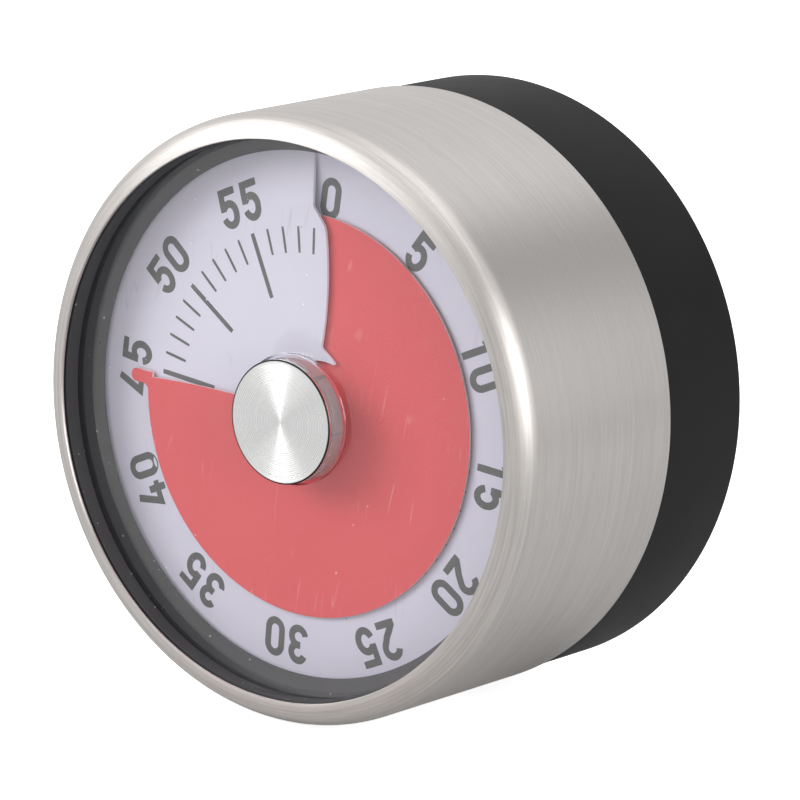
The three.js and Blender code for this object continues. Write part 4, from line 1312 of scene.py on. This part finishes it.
class TIMER_OT_studio(bpy.types.Operator):
    """Camera, pale floor and soft light"""

    bl_idname = "timer.studio"
    bl_label = "Studio"

    def execute(self, context):
        studio = context.scene.timer_studio
        self.add_camera(context, studio)
        self.add_floor()
        for name, (where, size) in SOFT_BOXES.items():
            self.add_light(name, where, size, getattr(studio, name))
        self.add_world(context)
        context.scene.view_settings.view_transform = "Standard"
        return {"FINISHED"}

    def add_camera(self, context, studio):
        """The camera stands back from its target along the azimuth and elevation, and is then rolled."""
        a, e = studio.azimuth, studio.elevation
        away = Vector((math.sin(a) * math.cos(e), -math.cos(a) * math.cos(e), math.sin(e)))
        right = Vector((math.cos(a), math.sin(a), 0))
        up = away.cross(right)
        rolled = right * math.cos(studio.roll) + up * math.sin(studio.roll)
        turn = Matrix((rolled, away.cross(rolled), away)).transposed().to_4x4()
        data = bpy.data.cameras.new("camera")
        data.lens = studio.lens
        data.sensor_width = SENSOR
        data.clip_start = 0.01
        data.clip_end = 20
        camera = bpy.data.objects.new("camera", data)
        camera.matrix_world = Matrix.Translation(Vector(CAMERA_AIM) + away * studio.distance) @ turn
        context.scene.collection.objects.link(camera)
        context.scene.camera = camera

    def add_floor(self):
        """A flat pale floor under the case's lowest point, brighter to the camera than to the timer."""
        half, level = 3.0, -SLEEVE_R
        corners = [(x * half, y * half, level) for x, y in ((-1, -1), (1, -1), (1, 1), (-1, 1))]
        mesh = bpy.data.meshes.new("floor")
        mesh.from_pydata(corners, [], [(0, 1, 2, 3)])
        material, tree, shader = new_finish("floor_white")
        grain = noise(tree, place(tree), 40.0)
        seen = mixed(tree, grain, (0.86, 0.86, 0.86), (0.88, 0.88, 0.88))
        feed(tree, shader, base_color=seen, roughness=0.8, emission_color=WHITE, emission_strength=0.8)
        grey = node(tree, "BsdfDiffuse", {"Color": (0.6, 0.6, 0.6, 1)})
        by_ray(tree, ["Is Camera Ray"], grey, shader)
        mesh.materials.append(material)
        floor = bpy.data.objects.new("floor", mesh)
        bpy.context.scene.collection.objects.link(floor)

    def add_light(self, name, where, size, watts):
        data = bpy.data.lights.new(name, "AREA")
        data.energy = watts
        data.size = size
        lamp = bpy.data.objects.new(name, data)
        lamp.location = where
        lamp.rotation_mode = "QUATERNION"
        aim = Vector(LIGHTS_AIM) - Vector(where)
        lamp.rotation_quaternion = aim.to_track_quat("-Z", "Y")
        bpy.context.scene.collection.objects.link(lamp)

    def add_world(self, context):
        """White backdrop for the camera. The light comes from a grey that is brighter from above, less
        bright from the front, and darkest in an upright band behind the timer at its right."""
        world = bpy.data.worlds.new("studio")
        world.use_nodes = True
        tree = world.node_tree
        tree.nodes.clear()
        xyz = node(tree, "SeparateXYZ", {0: node(tree, "TexCoord").outputs["Generated"]}).outputs
        glow = mixed(tree, spread(tree, xyz[2], -0.2, 0.9), (0.58, 0.58, 0.585), (0.8, 0.8, 0.81))
        left_side = spread(tree, xyz[0], 0.05, 0.3)
        right_side = spread(tree, xyz[0], 0.42, 0.6, 1.0, 0.0)
        behind = spread(tree, xyz[1], 0.2, 0.5)
        band = product(tree, product(tree, left_side, right_side), behind)
        from_front = spread(tree, xyz[1], -0.5, 0.3, 0.66, 1.0)
        strength = product(tree, from_front, spread(tree, band, 0.0, 1.0, 1.1, 0.4))
        lit = node(tree, "Background", {"Color": glow, "Strength": strength})
        seen = node(tree, "Background", {"Color": WHITE, "Strength": 1.0})
        node(tree, "OutputWorld")
        by_ray(tree, ["Is Camera Ray"], lit, seen)
        context.scene.world = world


SETTINGS = {
    "timer_case": CaseSettings,
    "timer_dial": DialSettings,
    "timer_disc": DiscSettings,
    "timer_knob": KnobSettings,
    "timer_studio": StudioSettings,
}
OPERATORS = (
    TIMER_OT_sleeve,
    TIMER_OT_bezel,
    TIMER_OT_lens,
    TIMER_OT_dial,
    TIMER_OT_print,
    TIMER_OT_time_disc,
    TIMER_OT_knob,
    TIMER_OT_housing,
    TIMER_OT_fittings,
    TIMER_OT_movement,
    TIMER_OT_studio,
)


class TIMER_PT_panel(bpy.types.Panel):
    """Lists the timer's pieces and settings"""

    bl_label = "Sixty Minute Timer"
    bl_idname = "TIMER_PT_panel"
    bl_space_type = "VIEW_3D"
    bl_region_type = "UI"
    bl_category = "Timer"

    def draw(self, context):
        for operator in OPERATORS:
            self.layout.operator(operator.bl_idname)
        for name, group in SETTINGS.items():
            box = self.layout.box()
            box.label(text=group.__doc__)
            for key in group.__annotations__:
                box.prop(getattr(context.scene, name), key)


def register():
    for cls in (*SETTINGS.values(), *OPERATORS, TIMER_PT_panel):
        bpy.utils.register_class(cls)
    for name, group in SETTINGS.items():
        setattr(bpy.types.Scene, name, PointerProperty(type=group))


def unregister():
    for name in SETTINGS:
        delattr(bpy.types.Scene, name)
    for cls in (TIMER_PT_panel, *reversed(OPERATORS), *reversed(list(SETTINGS.values()))):
        bpy.utils.unregister_class(cls)


def main():
    register()
    for operator in OPERATORS:
        family, name = operator.bl_idname.split(".")
        getattr(getattr(bpy.ops, family), name)()


if __name__ == "__main__":
    main()
